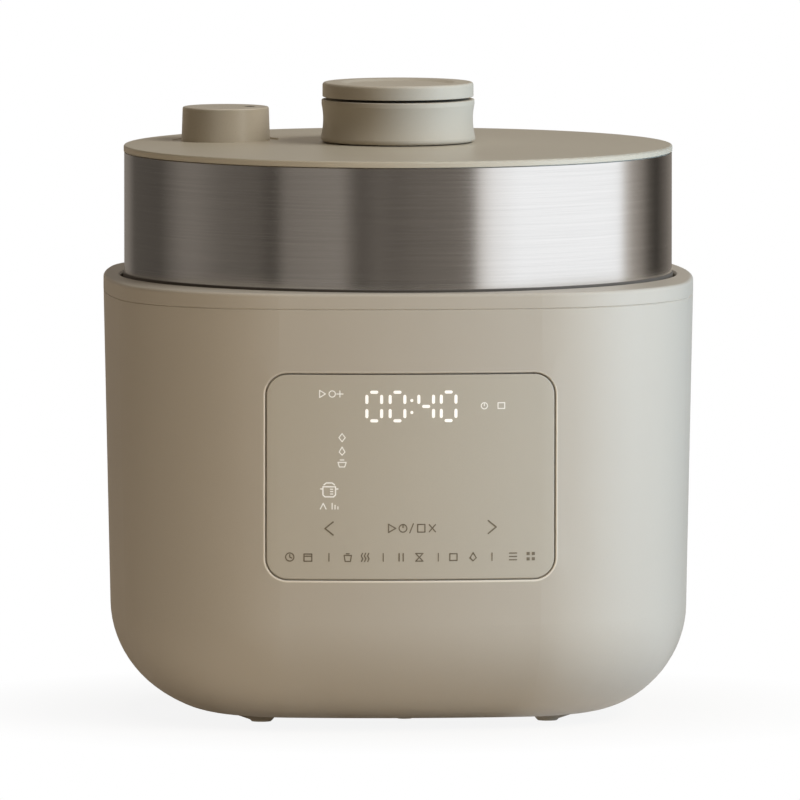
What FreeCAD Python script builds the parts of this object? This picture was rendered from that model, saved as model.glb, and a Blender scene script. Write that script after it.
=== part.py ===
import FreeCAD, Part
import Sketcher
import math
import os
import re

# Electric pressure cooker with a turning knob, all sizes in millimetres.
# Front is -Y, up is +Z, the table is z = 0 and the pot axis is x = y = 0.

doc = FreeCAD.newDocument("pressure_cooker")

# Driving sizes: each one can be changed by itself

sizes = {
    # Housing
    "half_width": 122.0,
    "side_radius": 338.0,
    "corner_inset": 45.0,
    "body_draft": 1.2,
    "bottom_round": 42.5,
    "body_wall": 3.0,
    "seam_level": 174.2,
    "seam_bevel": 0.35,
    "boss_inset": 9.0,
    "boss_width": 10.0,
    "boss_height": 30.0,
    # Rim ring
    "rim_height": 6.6,
    "rim_wall": 2.5,
    "rim_edge": 1.5,
    "rim_bevel": 0.8,
    "rim_land": 7.0,
    "skirt_wall": 2.1,
    # Feet and base cover
    "foot_height": 2.7,
    "foot_radius": 8.0,
    "foot_tread": 4.8,
    "foot_lean": 2.6,
    "foot_inset": 7.3,
    "foot_edge": 0.8,
    "foot_stud": 2.9,
    "stud_rise": 1.0,
    "cover_gap": 12.1,
    "cover_gauge": 1.6,
    "cover_lap": 10.0,
    "slot_length": 44.0,
    "slot_width": 3.0,
    "slot_pitch": 8.0,
    "slot_count": 5.0,
    # Control panel, light guide and display board
    "panel_width": 117.8,
    "panel_tall": 84.0,
    "panel_corner": 8.5,
    "panel_level": 105.5,
    "panel_groove": 0.6,
    "panel_edge": 0.3,
    "mouth_edge": 0.5,
    "panel_depth": 2.0,
    "guide_depth": 5.0,
    "guide_side": 11.5,
    "guide_edge": 11.0,
    "guide_corner": 3.5,
    "guide_gap": 0.5,
    "guide_leg": 2.5,
    "leg_inset": 6.0,
    "leg_height": 0.45,
    "board_gauge": 1.6,
    "board_corner": 2.0,
    "chip_side": 14.0,
    "chip_rise": 4.0,
    # Power board
    "board_long": 70.0,
    "board_wide": 40.0,
    "board_post": 3.0,
    "post_inset": 5.0,
    "post_height": 5.7,
    "relay_side": 12.0,
    "relay_gap": 3.0,
    "relay_height": 12.0,
    # Power inlet
    "inlet_level": 72.0,
    "inlet_width": 34.0,
    "inlet_tall": 28.0,
    "inlet_corner": 4.0,
    "inlet_sink": 0.6,
    "inlet_flange": 2.0,
    "inlet_length": 19.0,
    "socket_width": 24.0,
    "socket_tall": 16.5,
    "socket_wall": 2.0,
    "socket_corner": 2.0,
    "socket_bevel": 5.0,
    "socket_depth": 15.5,
    "pin_pitch": 7.0,
    "pin_step": 2.0,
    "pin_gauge": 2.0,
    "pin_width": 4.0,
    "pin_short": 2.5,
    # Outer pot
    "board_clear": 2.9,
    "outer_gauge": 1.5,
    "outer_round": 6.0,
    "pot_clear": 2.6,
    "ledge_gap": 1.0,
    "well_gap": 2.0,
    "well_flange": 6.0,
    # Bayonet ring and lock plate
    "ring_drop": 4.2,
    "ring_gauge": 3.0,
    "ring_gap": 1.2,
    "ring_width": 13.8,
    "ear_margin": 2.0,
    "tooth_length": 6.0,
    "lug_angle": 26.0,
    "lug_slack": 3.0,
    "lug_count": 6.0,
    "lug_gap": 1.0,
    "lug_root": 4.0,
    "plate_gap": 2.0,
    "plate_gauge": 3.6,
    "plate_bore": 8.0,
    "plate_play": 0.4,
    "slot_slack": 7.0,
    "lock_turn": 30.0,
    # Heating plate and tube
    "heater_lift": 9.0,
    "heater_gauge": 7.0,
    "heater_inset": 10.0,
    "heater_bevel": 3.0,
    "heater_leg": 5.0,
    "leg_edge": 1.0,
    "tube_radius": 4.2,
    "tube_gap": 9.8,
    "tube_drop": 2.5,
    "tube_sweep": 320.0,
    "tube_tail": 5.5,
    "tube_play": 0.8,
    # Pot sensor and pressure switch
    "sensor_radius": 14.0,
    "sensor_play": 1.0,
    "sensor_edge": 1.0,
    "sensor_stem": 5.0,
    "sensor_drop": 5.0,
    "shoulder_rise": 4.0,
    "holder_radius": 18.0,
    "holder_depth": 15.0,
    "holder_wall": 1.5,
    "holder_bore": 3.0,
    "holder_lip": 8.0,
    "holder_gap": 2.0,
    "coil_gap": 4.0,
    "coil_gauge": 1.2,
    "switch_reach": 50.0,
    "switch_width": 28.0,
    "switch_depth": 12.0,
    "switch_height": 13.0,
    "tag_pitch": 9.0,
    "tag_gauge": 0.8,
    "tag_width": 6.0,
    "tag_length": 4.0,
    # Inner pot, pressure lid and seal
    "pot_gap": 1.0,
    "flange_width": 7.0,
    "flange_gauge": 1.5,
    "pot_wall": 1.8,
    "pot_round": 14.0,
    "seal_width": 8.0,
    "seal_height": 6.0,
    "seal_lip": 2.5,
    "seal_edge": 0.8,
    "lid_sheet": 1.5,
    "crown_rise": 1.0,
    "crown_slope": 2.0,
    "crown_gap": 7.1,
    # Lid drum
    "lid_gap": 1.5,
    "band_gauge": 0.8,
    "band_play": 0.2,
    "band_reveal": 0.5,
    "drum_height": 51.1,
    "frame_gap": 1.6,
    "frame_gauge": 2.4,
    "foot_lip": 0.5,
    "foot_lip_rise": 1.0,
    "foot_lip_edge": 0.35,
    "plug_wall": 2.0,
    "plug_height": 12.0,
    "lip_height": 2.5,
    "lip_over": 0.2,
    "lip_edge": 0.8,
    "dome_rise": 1.0,
    "lid_gauge": 2.2,
    "cover_plug": 6.0,
    "cover_boss": 4.0,
    "screw_inset": 20.0,
    "post_reach": 45.0,
    "post_start": 100.0,
    "post_foot": 6.0,
    "post_neck": 3.5,
    # Drive shaft and its clip
    "shaft_radius": 13.0,
    "shaft_wall": 2.5,
    "shaft_flange": 9.0,
    "flange_rise": 2.2,
    "shaft_short": 3.8,
    "hub_wall": 2.6,
    "hub_height": 5.0,
    "hub_drop": 14.0,
    "window_slack": 30.0,
    "window_under": 4.0,
    "window_over": 5.0,
    "clip_gauge": 1.2,
    "clip_depth": 1.0,
    "clip_width": 2.5,
    "clip_mouth": 9.0,
    "clip_play": 0.1,
    # Knob, button and stem
    "knob_radius": 31.7,
    "knob_flare": 0.3,
    "knob_waist": 0.8,
    "waist_end": 2.0,
    "knob_height": 17.5,
    "knob_wall": 2.5,
    "knob_edge": 0.4,
    "knob_round": 1.5,
    "knob_boss": 2.5,
    "button_inset": 0.4,
    "button_height": 6.0,
    "button_gap": 1.1,
    "button_edge": 1.2,
    "button_bevel": 0.3,
    "dish_inset": 7.85,
    "dish_slope": 2.5,
    "dish_depth": 0.8,
    "stem_radius": 6.0,
    "stem_play": 1.0,
    "stem_collar": 3.0,
    "collar_rise": 2.0,
    "tip_ball": 10.0,
    "tip_inset": 1.0,
    "tip_height": 3.0,
    "seat_gauge": 2.0,
    "spring_room": 26.0,
    "spring_gap": 1.4,
    "spring_gauge": 1.2,
    # Rocker
    "rocker_lift": 17.4,
    "rocker_gauge": 3.0,
    "rocker_half": 4.0,
    "rocker_tail": 4.0,
    "arm_straight": 20.0,
    "fork_length": 14.0,
    "fork_depth": 7.0,
    "fork_reach": 2.0,
    "fork_play": 1.2,
    "fork_tine": 3.8,
    "fork_gap": 0.4,
    "pivot_radius": 2.0,
    "pivot_wall": 2.0,
    "pivot_fit": 0.05,
    "pivot_shift": 1.0,
    "bracket_gap": 2.5,
    "bracket_length": 9.0,
    "bracket_floor": 2.0,
    "bracket_lip": 1.25,
    "cheek_gap": 1.25,
    "cheek_gauge": 2.5,
    "cheek_rise": 4.5,
    # Vent pipe, screen, weight and cap
    "vent_inset": 13.9,
    "vent_angle": 159.8,
    "vent_play": 2.0,
    "pipe_radius": 4.0,
    "pipe_bore": 1.6,
    "pipe_drop": 5.0,
    "pipe_rise": 7.6,
    "pipe_flange": 4.0,
    "pipe_neck": 0.4,
    "neck_play": 0.2,
    "nut_width": 3.0,
    "nut_height": 2.6,
    "nut_gap": 0.9,
    "screen_gap": 5.0,
    "screen_gauge": 1.0,
    "screen_drop": 10.0,
    "screen_hole": 1.2,
    "screen_pitch": 5.0,
    "weight_radius": 8.0,
    "weight_rise": 3.6,
    "weight_edge": 1.5,
    "weight_collar": 3.0,
    "weight_step": 2.5,
    "weight_play": 4.0,
    "weight_bore": 0.8,
    "needle_radius": 1.1,
    "needle_drop": 1.4,
    "cap_radius": 18.4,
    "cap_height": 14.3,
    "cap_taper": 0.5,
    "cap_wall": 1.8,
    "cap_roof": 2.2,
    "cap_edge": 0.8,
    "cap_margin": 3.8,
    "steam_hole": 2.1,
    "steam_offset": 10.0,
    # Float valve
    "float_inset": 10.0,
    "float_angle": 20.0,
    "float_stem": 2.8,
    "float_foot": 5.5,
    "float_head": 4.5,
    "float_drop": 5.0,
    "float_play": 0.6,
    "float_slack": 1.0,
    "foot_gauge": 1.4,
    "head_gauge": 1.8,
    "gasket_gauge": 1.2,
    # Screws
    "ring_screw": 1.65,
    "ring_head": 3.6,
    "ring_head_rise": 2.4,
    "ring_screw_length": 12.0,
    "base_screw": 1.4,
    "base_head": 3.0,
    "base_head_rise": 1.6,
    "base_screw_length": 4.0,
    "base_boss": 2.6,
    "drive_slot": 0.8,
    "lid_screw": 1.65,
    "lid_head": 3.4,
    "lid_head_rise": 2.0,
    "lid_screw_length": 12.0,
    "shaft_screw": 1.5,
    "shaft_head": 2.8,
    "shaft_head_rise": 1.6,
    "shaft_screw_offset": 5.0,
    "screw_play": 0.2,
    "thread_play": 0.1,
    "blind_depth": 2.0,
    # Clearances
    "play": 0.3,
    "overcut": 5.0,
}

# Places worked out from the driving sizes

places = {
    "corner_radius": "half_width - corner_inset",
    "draft_slope": "tan(body_draft)",
    "flat_offset": "side_radius - half_width",
    "corner_centre": "(sqrt(2 * (side_radius - corner_radius)^2 - flat_offset^2) - flat_offset) / 2",
    "corner_reach": "corner_centre * sqrt(2) + corner_radius",
    "boss_reach": "corner_reach - body_wall - boss_inset",
    "boss_end": "corner_reach - body_wall / 2",
    "floor_top": "foot_height + body_wall",
    "rim_top": "seam_level + rim_height",
    "opening_radius": "half_width - rim_land",
    "skirt_radius": "opening_radius + skirt_wall",
    "foot_reach": "corner_reach - bottom_round - foot_inset",
    "cover_radius": "foot_reach - foot_radius - cover_gap",
    "base_opening": "cover_radius - cover_lap",
    "base_screw_reach": "cover_radius - cover_lap / 2",
    "cover_top": "foot_height + cover_gauge",
    "bar_near": "half_width / 2",
    "bar_far": "half_width + overcut",
    "panel_front": "half_width - (seam_level - panel_level) * draft_slope",
    "guide_width": "panel_width - 2 * guide_side",
    "guide_tall": "panel_tall - 2 * guide_edge",
    "guide_back": "panel_front - panel_depth - guide_depth",
    "guide_bend": "guide_width^2 / (8 * (side_radius - panel_depth - guide_depth))",
    "guide_lean": "guide_tall / 2 * draft_slope",
    "screen_face": "guide_back - guide_bend - guide_lean - leg_height",
    "inlet_wall": "half_width - (seam_level - inlet_level) * draft_slope",
    "inlet_face": "inlet_wall - inlet_sink",
    "inlet_seat": "inlet_face - inlet_flange",
    "socket_out_width": "socket_width + 2 * socket_wall",
    "socket_out_tall": "socket_tall + 2 * socket_wall",
    "board_level": "cover_top + post_height",
    "board_top": "board_level + board_gauge",
    "relay_reach": "holder_radius + relay_gap + relay_side / 2",
    "outer_floor": "board_top + board_clear + holder_depth",
    "inner_floor": "outer_floor + outer_gauge",
    "ring_level": "seam_level - ring_drop",
    "ring_top": "ring_level + ring_gauge",
    "ring_radius": "half_width - body_wall - ring_gap",
    "tooth_root": "ring_radius - ring_width",
    "tooth_tip": "tooth_root - tooth_length",
    "lug_reach": "tooth_root - lug_gap",
    "lug_pitch": "360 / lug_count",
    "tooth_angle": "lug_pitch - lug_angle - 2 * lug_slack",
    "plate_radius": "tooth_tip - plate_gap",
    "plate_top": "ring_level - plate_play",
    "plate_level": "plate_top - plate_gauge",
    "well_radius": "lug_reach + well_gap",
    "pot_flange": "tooth_tip - pot_gap",
    "pot_radius": "pot_flange - flange_width",
    "outer_radius": "pot_radius + pot_clear",
    "heater_radius": "pot_radius - heater_inset",
    "heater_level": "inner_floor + heater_lift",
    "heater_top": "heater_level + heater_gauge",
    "leg_reach": "heater_radius - heater_leg - leg_edge",
    "tube_ring": "leg_reach - heater_leg - tube_gap - tube_radius",
    "tube_level": "heater_level - tube_drop",
    "sensor_hole": "holder_radius + holder_gap",
    "holder_floor": "outer_floor - holder_depth",
    "coil_radius": "sensor_stem + coil_gap",
    "pot_floor": "heater_top",
    "nut_top": "plate_level - nut_gap",
    "lid_over": "nut_top - nut_height",
    "lid_under": "lid_over - lid_sheet",
    "pot_top": "lid_under - seal_lip",
    "ledge_level": "pot_top - flange_gauge - ledge_gap",
    "lid_edge": "pot_flange - seal_lip",
    "seal_inside": "pot_flange - seal_width",
    "seal_top": "pot_top + seal_height",
    "crown_under": "lid_under + crown_rise",
    "crown_over": "lid_over + crown_rise",
    "vent_reach": "seal_inside - vent_inset",
    "vent_x": "vent_reach * cos(vent_angle)",
    "vent_y": "vent_reach * sin(vent_angle)",
    "screen_radius": "pipe_radius + screen_gap + screen_gauge",
    "crown_radius": "vent_reach - screen_radius - crown_gap",
    "float_reach": "crown_radius + crown_slope + float_inset",
    "float_x": "float_reach * cos(float_angle)",
    "float_y": "float_reach * sin(float_angle)",
    "lid_radius": "opening_radius - lid_gap",
    "frame_level": "ring_top + frame_gap",
    "frame_top": "frame_level + frame_gauge",
    "band_foot": "rim_top + foot_lip_rise",
    "band_top": "rim_top + drum_height",
    "band_inside": "lid_radius - band_gauge",
    "plug_radius": "band_inside - band_play",
    "plug_bore": "plug_radius - plug_wall",
    "lid_screw_reach": "plug_bore - screw_inset",
    "lip_radius": "lid_radius + lip_over",
    "lip_top": "band_top + lip_height",
    "dome_top": "lip_top + dome_rise",
    "dome_radius": "lid_radius^2 / (2 * dome_rise)",
    "lid_roof": "lip_top - lid_gauge",
    "vent_pad": "lip_top",
    "shaft_bore": "shaft_radius - shaft_wall",
    "shaft_foot": "plate_top + flange_rise",
    "shaft_screw_reach": "shaft_radius + shaft_screw_offset",
    "hub_bore": "shaft_radius + plate_play",
    "hub_radius": "hub_bore + hub_wall",
    "hub_top": "frame_top + hub_height",
    "clip_level": "hub_top + play",
    "knob_foot": "dome_top + play",
    "knob_top": "knob_foot + knob_height",
    "knob_hollow": "knob_radius - knob_wall - knob_waist",
    "waist_chord": "sqrt((knob_height - 2 * waist_end)^2 + knob_flare^2)",
    "waist_radius": "waist_chord^2 / (8 * knob_waist) + knob_waist / 2",
    "shaft_top": "knob_top - shaft_short",
    "button_radius": "knob_radius - button_inset",
    "button_foot": "knob_top + button_gap",
    "button_top": "button_foot + button_height",
    "dish_radius": "button_radius - dish_inset",
    "rocker_level": "frame_top + rocker_lift",
    "rocker_top": "rocker_level + rocker_gauge",
    "pivot_level": "rocker_level + rocker_gauge / 2",
    "bracket_reach": "hub_radius + bracket_length / 2 + bracket_gap",
    "pivot_reach": "bracket_reach - pivot_shift",
    "bracket_width": "2 * (rocker_half + cheek_gap + cheek_gauge + bracket_lip)",
    "cheek_offset": "rocker_half + cheek_gap + cheek_gauge / 2",
    "fork_half": "pipe_radius + fork_play + fork_tine",
    "fork_slot": "pipe_radius + fork_play",
    "fork_root": "vent_reach - fork_depth",
    "fork_end": "vent_reach + fork_reach",
    "stem_tip": "rocker_top + play",
    "stem_bore": "stem_radius + stem_play",
    "spring_seat": "shaft_top - spring_room",
    "spring_radius": "stem_radius + spring_gap",
    "collar_top": "shaft_top - play",
    "collar_foot": "collar_top - collar_rise",
    "pipe_top": "rocker_top + pipe_rise",
    "weight_foot": "rocker_top + fork_gap",
    "weight_top": "vent_pad + weight_rise",
    "weight_hollow": "pipe_radius + weight_bore",
    "cap_top": "vent_pad + cap_height",
    "cap_inside": "cap_radius - cap_wall",
}

sheet = doc.addObject("Spreadsheet::Sheet", "size")
rows = list(sizes.items())
for word, text in places.items():
    rows.append((word, "=" + text))
for row, (word, entry) in enumerate(rows, start=1):
    sheet.set("A%d" % row, word)
    sheet.set("B%d" % row, str(entry))
    sheet.setAlias("B%d" % row, word)
doc.recompute()


def bound(text):
    # Write an expression with the spreadsheet names filled in.
    def swap(found):
        word = found.group(0)
        if word in sizes or word in places:
            return "size." + word
        return word
    return re.sub(r"[a-z_]{3,}", swap, str(text))


def value(text):
    # The number an expression gives.
    return float(sheet.evalExpression(bound(text)))


def bind(thing, name, text):
    # Tie a property to the spreadsheet.
    thing.setExpression(name, bound(text))


def new_body(label, many=False):
    # An empty body, allowed several solids when it holds a set of equal pieces.
    body = doc.addObject("PartDesign::Body", label)
    body.Label = label
    if many:
        body.AllowCompound = True
    return body


def origin_part(body, role):
    # One of the body's own planes or axes.
    for item in body.Origin.OriginFeatures:
        if item.Role == role:
            return item


def new_sketch(body, plane, lift=None):
    # A sketch on one of the body's planes, raised along the plane's normal.
    sketch = body.newObject("Sketcher::SketchObject", body.Label + "_sketch")
    sketch.AttachmentSupport = (origin_part(body, plane), [""])
    sketch.MapMode = "FlatFace"
    if lift is not None:
        bind(sketch, "AttachmentOffset.Base.z", lift)
    return sketch


def hold_point(sketch, piece, end, across, upward):
    # Fix one point of a sketch by its two distances from the origin.
    for text, kind, axis in ((across, "DistanceX", -2), (upward, "DistanceY", -1)):
        number = value(text)
        if abs(number) < 1e-9:
            sketch.addConstraint(Sketcher.Constraint("PointOnObject", piece, end, axis))
            continue
        spot = sketch.addConstraint(Sketcher.Constraint(kind, -1, 1, piece, end, number))
        bind(sketch, "Constraints[%d]" % spot, text)


def outline(sketch, points):
    # A closed outline: each point is (across, up) for a line on to the next point,
    # or (across, up, radius, side) for an arc, side 1 when its centre is on the left.
    corners = []
    for point in points:
        corners.append(FreeCAD.Vector(value(point[0]), value(point[1]), 0))
    count = len(points)
    pieces = []
    ends = []
    for place, point in enumerate(points):
        start = corners[place]
        finish = corners[(place + 1) % count]
        if len(point) == 2:
            pieces.append(Part.LineSegment(start, finish))
            ends.append((1, 2))
            continue
        radius = value(point[2])
        chord = finish - start
        middle = (start + finish) * 0.5
        left = FreeCAD.Vector(-chord.y, chord.x, 0).normalize()
        height = math.sqrt(radius ** 2 - (chord.Length / 2) ** 2)
        centre = middle + left * height * point[3]
        first, last = (start, finish) if point[3] > 0 else (finish, start)
        begin = math.atan2(first.y - centre.y, first.x - centre.x)
        stop = math.atan2(last.y - centre.y, last.x - centre.x)
        circle = Part.Circle(centre, FreeCAD.Vector(0, 0, 1), radius)
        pieces.append(Part.ArcOfCircle(circle, begin, stop))
        ends.append((1, 2) if point[3] > 0 else (2, 1))
    made = sketch.addGeometry(pieces, False)
    links = []
    for place in range(count):
        after = (place + 1) % count
        links.append(Sketcher.Constraint(
            "Coincident", made[place], ends[place][1], made[after], ends[after][0]))
    sketch.addConstraint(links)
    for place, point in enumerate(points):
        hold_point(sketch, made[place], ends[place][0], point[0], point[1])
        if len(point) > 2:
            spot = sketch.addConstraint(Sketcher.Constraint("Radius", made[place], value(point[2])))
            bind(sketch, "Constraints[%d]" % spot, point[2])


def circles(sketch, items):
    # Circles given as (across, up, radius).
    for across, upward, radius in items:
        centre = FreeCAD.Vector(value(across), value(upward), 0)
        circle = Part.Circle(centre, FreeCAD.Vector(0, 0, 1), value(radius))
        made = sketch.addGeometry(circle, False)
        hold_point(sketch, made, 3, across, upward)
        spot = sketch.addConstraint(Sketcher.Constraint("Radius", made, value(radius)))
        bind(sketch, "Constraints[%d]" % spot, radius)


def rectangle(sketch, across, upward, width, tall):
    # A plain rectangle about its centre.
    left = "(%s) - (%s) / 2" % (across, width)
    right = "(%s) + (%s) / 2" % (across, width)
    low = "(%s) - (%s) / 2" % (upward, tall)
    high = "(%s) + (%s) / 2" % (upward, tall)
    outline(sketch, [(left, low), (right, low), (right, high), (left, high)])


def round_rectangle(sketch, across, upward, width, tall, corner):
    # A rectangle with rounded corners about its centre.
    left = "(%s) - (%s) / 2" % (across, width)
    right = "(%s) + (%s) / 2" % (across, width)
    low = "(%s) - (%s) / 2" % (upward, tall)
    high = "(%s) + (%s) / 2" % (upward, tall)
    turn = (corner, 1)
    outline(sketch, [
        (left + " + " + corner, low), (right + " - " + corner, low) + turn,
        (right, low + " + " + corner), (right, high + " - " + corner) + turn,
        (right + " - " + corner, high), (left + " + " + corner, high) + turn,
        (left, high + " - " + corner), (left, low + " + " + corner) + turn])


def soft_square(sketch, inset):
    # The plan of the housing: four flat arcs and four tight ones, tangent in turn.
    half = value("half_width - (%s)" % inset)
    wide = value("side_radius - (%s)" % inset)
    tight = value("corner_radius - (%s)" % inset)
    offset = wide - half
    centre = (math.sqrt(2 * (wide - tight) ** 2 - offset ** 2) - offset) / 2
    sweep = math.atan2(centre, centre + offset)
    upright = FreeCAD.Vector(0, 0, 1)
    pieces = []
    for quarter in range(4):
        turn = quarter * math.pi / 2
        spot = FreeCAD.Vector(-offset * math.cos(turn), -offset * math.sin(turn), 0)
        pieces.append(Part.ArcOfCircle(Part.Circle(spot, upright, wide), turn - sweep, turn + sweep))
        between = turn + math.pi / 4
        reach = centre * math.sqrt(2)
        spot = FreeCAD.Vector(reach * math.cos(between), reach * math.sin(between), 0)
        pieces.append(Part.ArcOfCircle(
            Part.Circle(spot, upright, tight), turn + sweep, turn + math.pi / 2 - sweep))
    made = sketch.addGeometry(pieces, False)
    rules = []
    for place in range(8):
        rules.append(Sketcher.Constraint("Tangent", made[place], 2, made[(place + 1) % 8], 1))
    for place in (0, 4):
        rules.append(Sketcher.Constraint("PointOnObject", made[place], 3, -1))
    for place in (2, 6):
        rules.append(Sketcher.Constraint("PointOnObject", made[place], 3, -2))
    for place in (2, 4, 6):
        rules.append(Sketcher.Constraint("Equal", made[0], made[place]))
        rules.append(Sketcher.Constraint("Equal", made[1], made[place + 1]))
    sketch.addConstraint(rules)
    for place, text, radius in ((0, "side_radius", wide), (1, "corner_radius", tight)):
        spot = sketch.addConstraint(Sketcher.Constraint("Radius", made[place], radius))
        bind(sketch, "Constraints[%d]" % spot, text + " - (%s)" % inset)
    for kind, first, second in (
            ("DistanceX", (made[0], 3), (-1, 1)), ("DistanceY", (made[2], 3), (-1, 1)),
            ("DistanceX", (-1, 1), (made[4], 3)), ("DistanceY", (-1, 1), (made[6], 3))):
        spot = sketch.addConstraint(Sketcher.Constraint(kind, *first, *second, offset))
        bind(sketch, "Constraints[%d]" % spot, "flat_offset")


def pad(body, sketch, length, down=False, draft=None):
    # Raise a sketch along its normal, or against it.
    feature = body.newObject("PartDesign::Pad", body.Label + "_pad")
    feature.Profile = sketch
    bind(feature, "Length", length)
    feature.Reversed = down
    if draft:
        bind(feature, "TaperAngle", draft)
    body.Tip = feature
    doc.recompute()
    return feature


def pocket(body, sketch, length, along=False):
    # Cut a sketch into the body against its normal, or along it.
    feature = body.newObject("PartDesign::Pocket", body.Label + "_pocket")
    feature.Profile = sketch
    bind(feature, "Length", length)
    feature.Reversed = along
    body.Tip = feature
    before = feature.BaseFeature.Shape.Volume
    doc.recompute()
    if not feature.Shape.Volume < before - 1e-6:
        raise RuntimeError("a pocket in %s cuts nothing" % body.Label)
    return feature


def revolve(body, points, angle=None):
    # Turn a profile of (radius, height) points round the upright axis.
    sketch = new_sketch(body, "XZ_Plane")
    outline(sketch, points)
    feature = body.newObject("PartDesign::Revolution", body.Label + "_turned")
    feature.Profile = sketch
    feature.ReferenceAxis = (sketch, ["V_Axis"])
    if angle is None:
        feature.Angle = 360
    else:
        bind(feature, "Angle", angle)
    body.Tip = feature
    doc.recompute()
    return feature


def groove(body, points=None, ring=None):
    # Cut a turned groove: a profile, or a ring given as (radius, height, wire radius).
    sketch = new_sketch(body, "XZ_Plane")
    if points:
        outline(sketch, points)
    else:
        circles(sketch, [ring])
    feature = body.newObject("PartDesign::Groove", body.Label + "_groove")
    feature.Profile = sketch
    feature.ReferenceAxis = (sketch, ["V_Axis"])
    feature.Angle = 360
    body.Tip = feature
    doc.recompute()
    return feature


def around(body, feature, count):
    # Repeat a feature evenly about the upright axis.
    repeat = body.newObject("PartDesign::PolarPattern", body.Label + "_repeat")
    repeat.Originals = [feature]
    repeat.Axis = (origin_part(body, "Z_Axis"), [""])
    repeat.Angle = 360
    bind(repeat, "Occurrences", count)
    body.Tip = repeat
    doc.recompute()
    return repeat


def loft(body, outlines):
    # Join outlines at different heights by straight sides.
    feature = body.newObject("PartDesign::AdditiveLoft", body.Label + "_loft")
    feature.Profile = outlines[0]
    feature.Sections = outlines[1:]
    feature.Ruled = True
    body.Tip = feature
    doc.recompute()
    return feature


def ease(body, radius, spots, kind="Fillet"):
    # Round or bevel the turned edges found at the given (radius, height) spots.
    base = body.Tip
    wanted = []
    for across, upward in spots:
        wanted.append((value(across), value(upward)))
    names = []
    for place, edge in enumerate(base.Shape.Edges, start=1):
        if not isinstance(edge.Curve, Part.Circle):
            continue
        for across, upward in wanted:
            centre = edge.Curve.Center
            near = abs(edge.Curve.Radius - across) < 0.01 and abs(centre.z - upward) < 0.01
            if near and math.hypot(centre.x, centre.y) < 0.01:
                names.append("Edge%d" % place)
    feature = body.newObject("PartDesign::" + kind, body.Label + "_edge")
    feature.Base = (base, names)
    bind(feature, "Radius" if kind == "Fillet" else "Size", radius)
    body.Tip = feature
    doc.recompute()
    return feature


def ease_level(body, radius, level, kind="Fillet", radii=None):
    # Round or bevel every edge that lies at one height, or only those with the given radii.
    base = body.Tip
    height = value(level)
    wanted = [value(word) for word in radii or []]
    names = []
    for place, edge in enumerate(base.Shape.Edges, start=1):
        box = edge.BoundBox
        if abs(box.ZMin - height) > 0.005 or abs(box.ZMax - height) > 0.005:
            continue
        if wanted and min(abs(edge.Curve.Radius - reach) for reach in wanted) > 0.005:
            continue
        names.append("Edge%d" % place)
    feature = body.newObject("PartDesign::" + kind, body.Label + "_edge")
    feature.Base = (base, names)
    bind(feature, "Radius" if kind == "Fillet" else "Size", radius)
    body.Tip = feature
    doc.recompute()
    return feature


def place_at(thing, across="0", along="0", height="0", angle=None):
    # Move a finished piece, turning it about the upright axis first.
    if angle is not None:
        turn = FreeCAD.Rotation(FreeCAD.Vector(0, 0, 1), value(angle))
        thing.Placement = FreeCAD.Placement(FreeCAD.Vector(0, 0, 0), turn)
        bind(thing, "Placement.Rotation.Angle", angle)
    for letter, text in (("x", across), ("y", along), ("z", height)):
        bind(thing, "Placement.Base." + letter, text)


def joined(kind, label, first, second):
    # A boolean of two shapes: Cut, Common or Fuse.
    thing = doc.addObject("Part::" + kind, label)
    thing.Label = label
    thing.Base = first
    thing.Tool = second
    doc.recompute()
    return thing


def lies_on(edge, skins):
    # Whether an edge runs along all the given skins.
    spread = edge.LastParameter - edge.FirstParameter
    for share in (0.2, 0.5, 0.8):
        spot = Part.Vertex(edge.valueAt(edge.FirstParameter + share * spread))
        if max(skin.distToShape(spot)[0] for skin in skins) > 0.005:
            return False
    return True


def eased_mouth(label, base, forms, radius):
    # Round the edges of a shape where two forms cross, such as the mouth of a recess.
    skins = [form.Shape.Shells[0] for form in forms]
    room = forms[-1].Shape.BoundBox
    room.enlarge(value("play"))
    thing = doc.addObject("Part::Fillet", label)
    thing.Label = label
    thing.Base = base
    size = value(radius)
    picked = []
    for place, edge in enumerate(base.Shape.Edges, start=1):
        if room.isInside(edge.BoundBox) and lies_on(edge, skins):
            picked.append((place, size, size))
    thing.Edges = picked
    doc.recompute()
    return thing


def fused(label, things):
    # Several shapes as one.
    thing = doc.addObject("Part::MultiFuse", label)
    thing.Label = label
    thing.Shapes = things
    doc.recompute()
    return thing


def sector(inner, outer, begin, finish):
    # A curved slot outline between two radii and two angles.
    return [
        ("(%s) * cos(%s)" % (inner, begin), "(%s) * sin(%s)" % (inner, begin)),
        ("(%s) * cos(%s)" % (outer, begin), "(%s) * sin(%s)" % (outer, begin), outer, 1),
        ("(%s) * cos(%s)" % (outer, finish), "(%s) * sin(%s)" % (outer, finish)),
        ("(%s) * cos(%s)" % (inner, finish), "(%s) * sin(%s)" % (inner, finish), inner, -1)]


def ring_spots(reach, start, count):
    # Evenly spaced (across, along) spots round the axis.
    spots = []
    for number in range(count):
        angle = "%s + %s" % (start, 360.0 / count * number)
        spots.append(("(%s) * cos(%s)" % (reach, angle), "(%s) * sin(%s)" % (reach, angle)))
    return spots


finished = []


def keep(thing):
    # Mark a piece as finished.
    finished.append(thing)
    return thing


def soft_block(label, inset, floor):
    # The housing's outer form, or one set in from it by an even distance.
    body = new_body(label)
    sketch = new_sketch(body, "XY_Plane", "seam_level")
    soft_square(sketch, inset)
    doc.recompute()
    pad(body, sketch, "seam_level - (%s)" % floor, down=True, draft="-body_draft")
    ease_level(body, "bottom_round - (%s)" % inset, floor)
    return body


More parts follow.
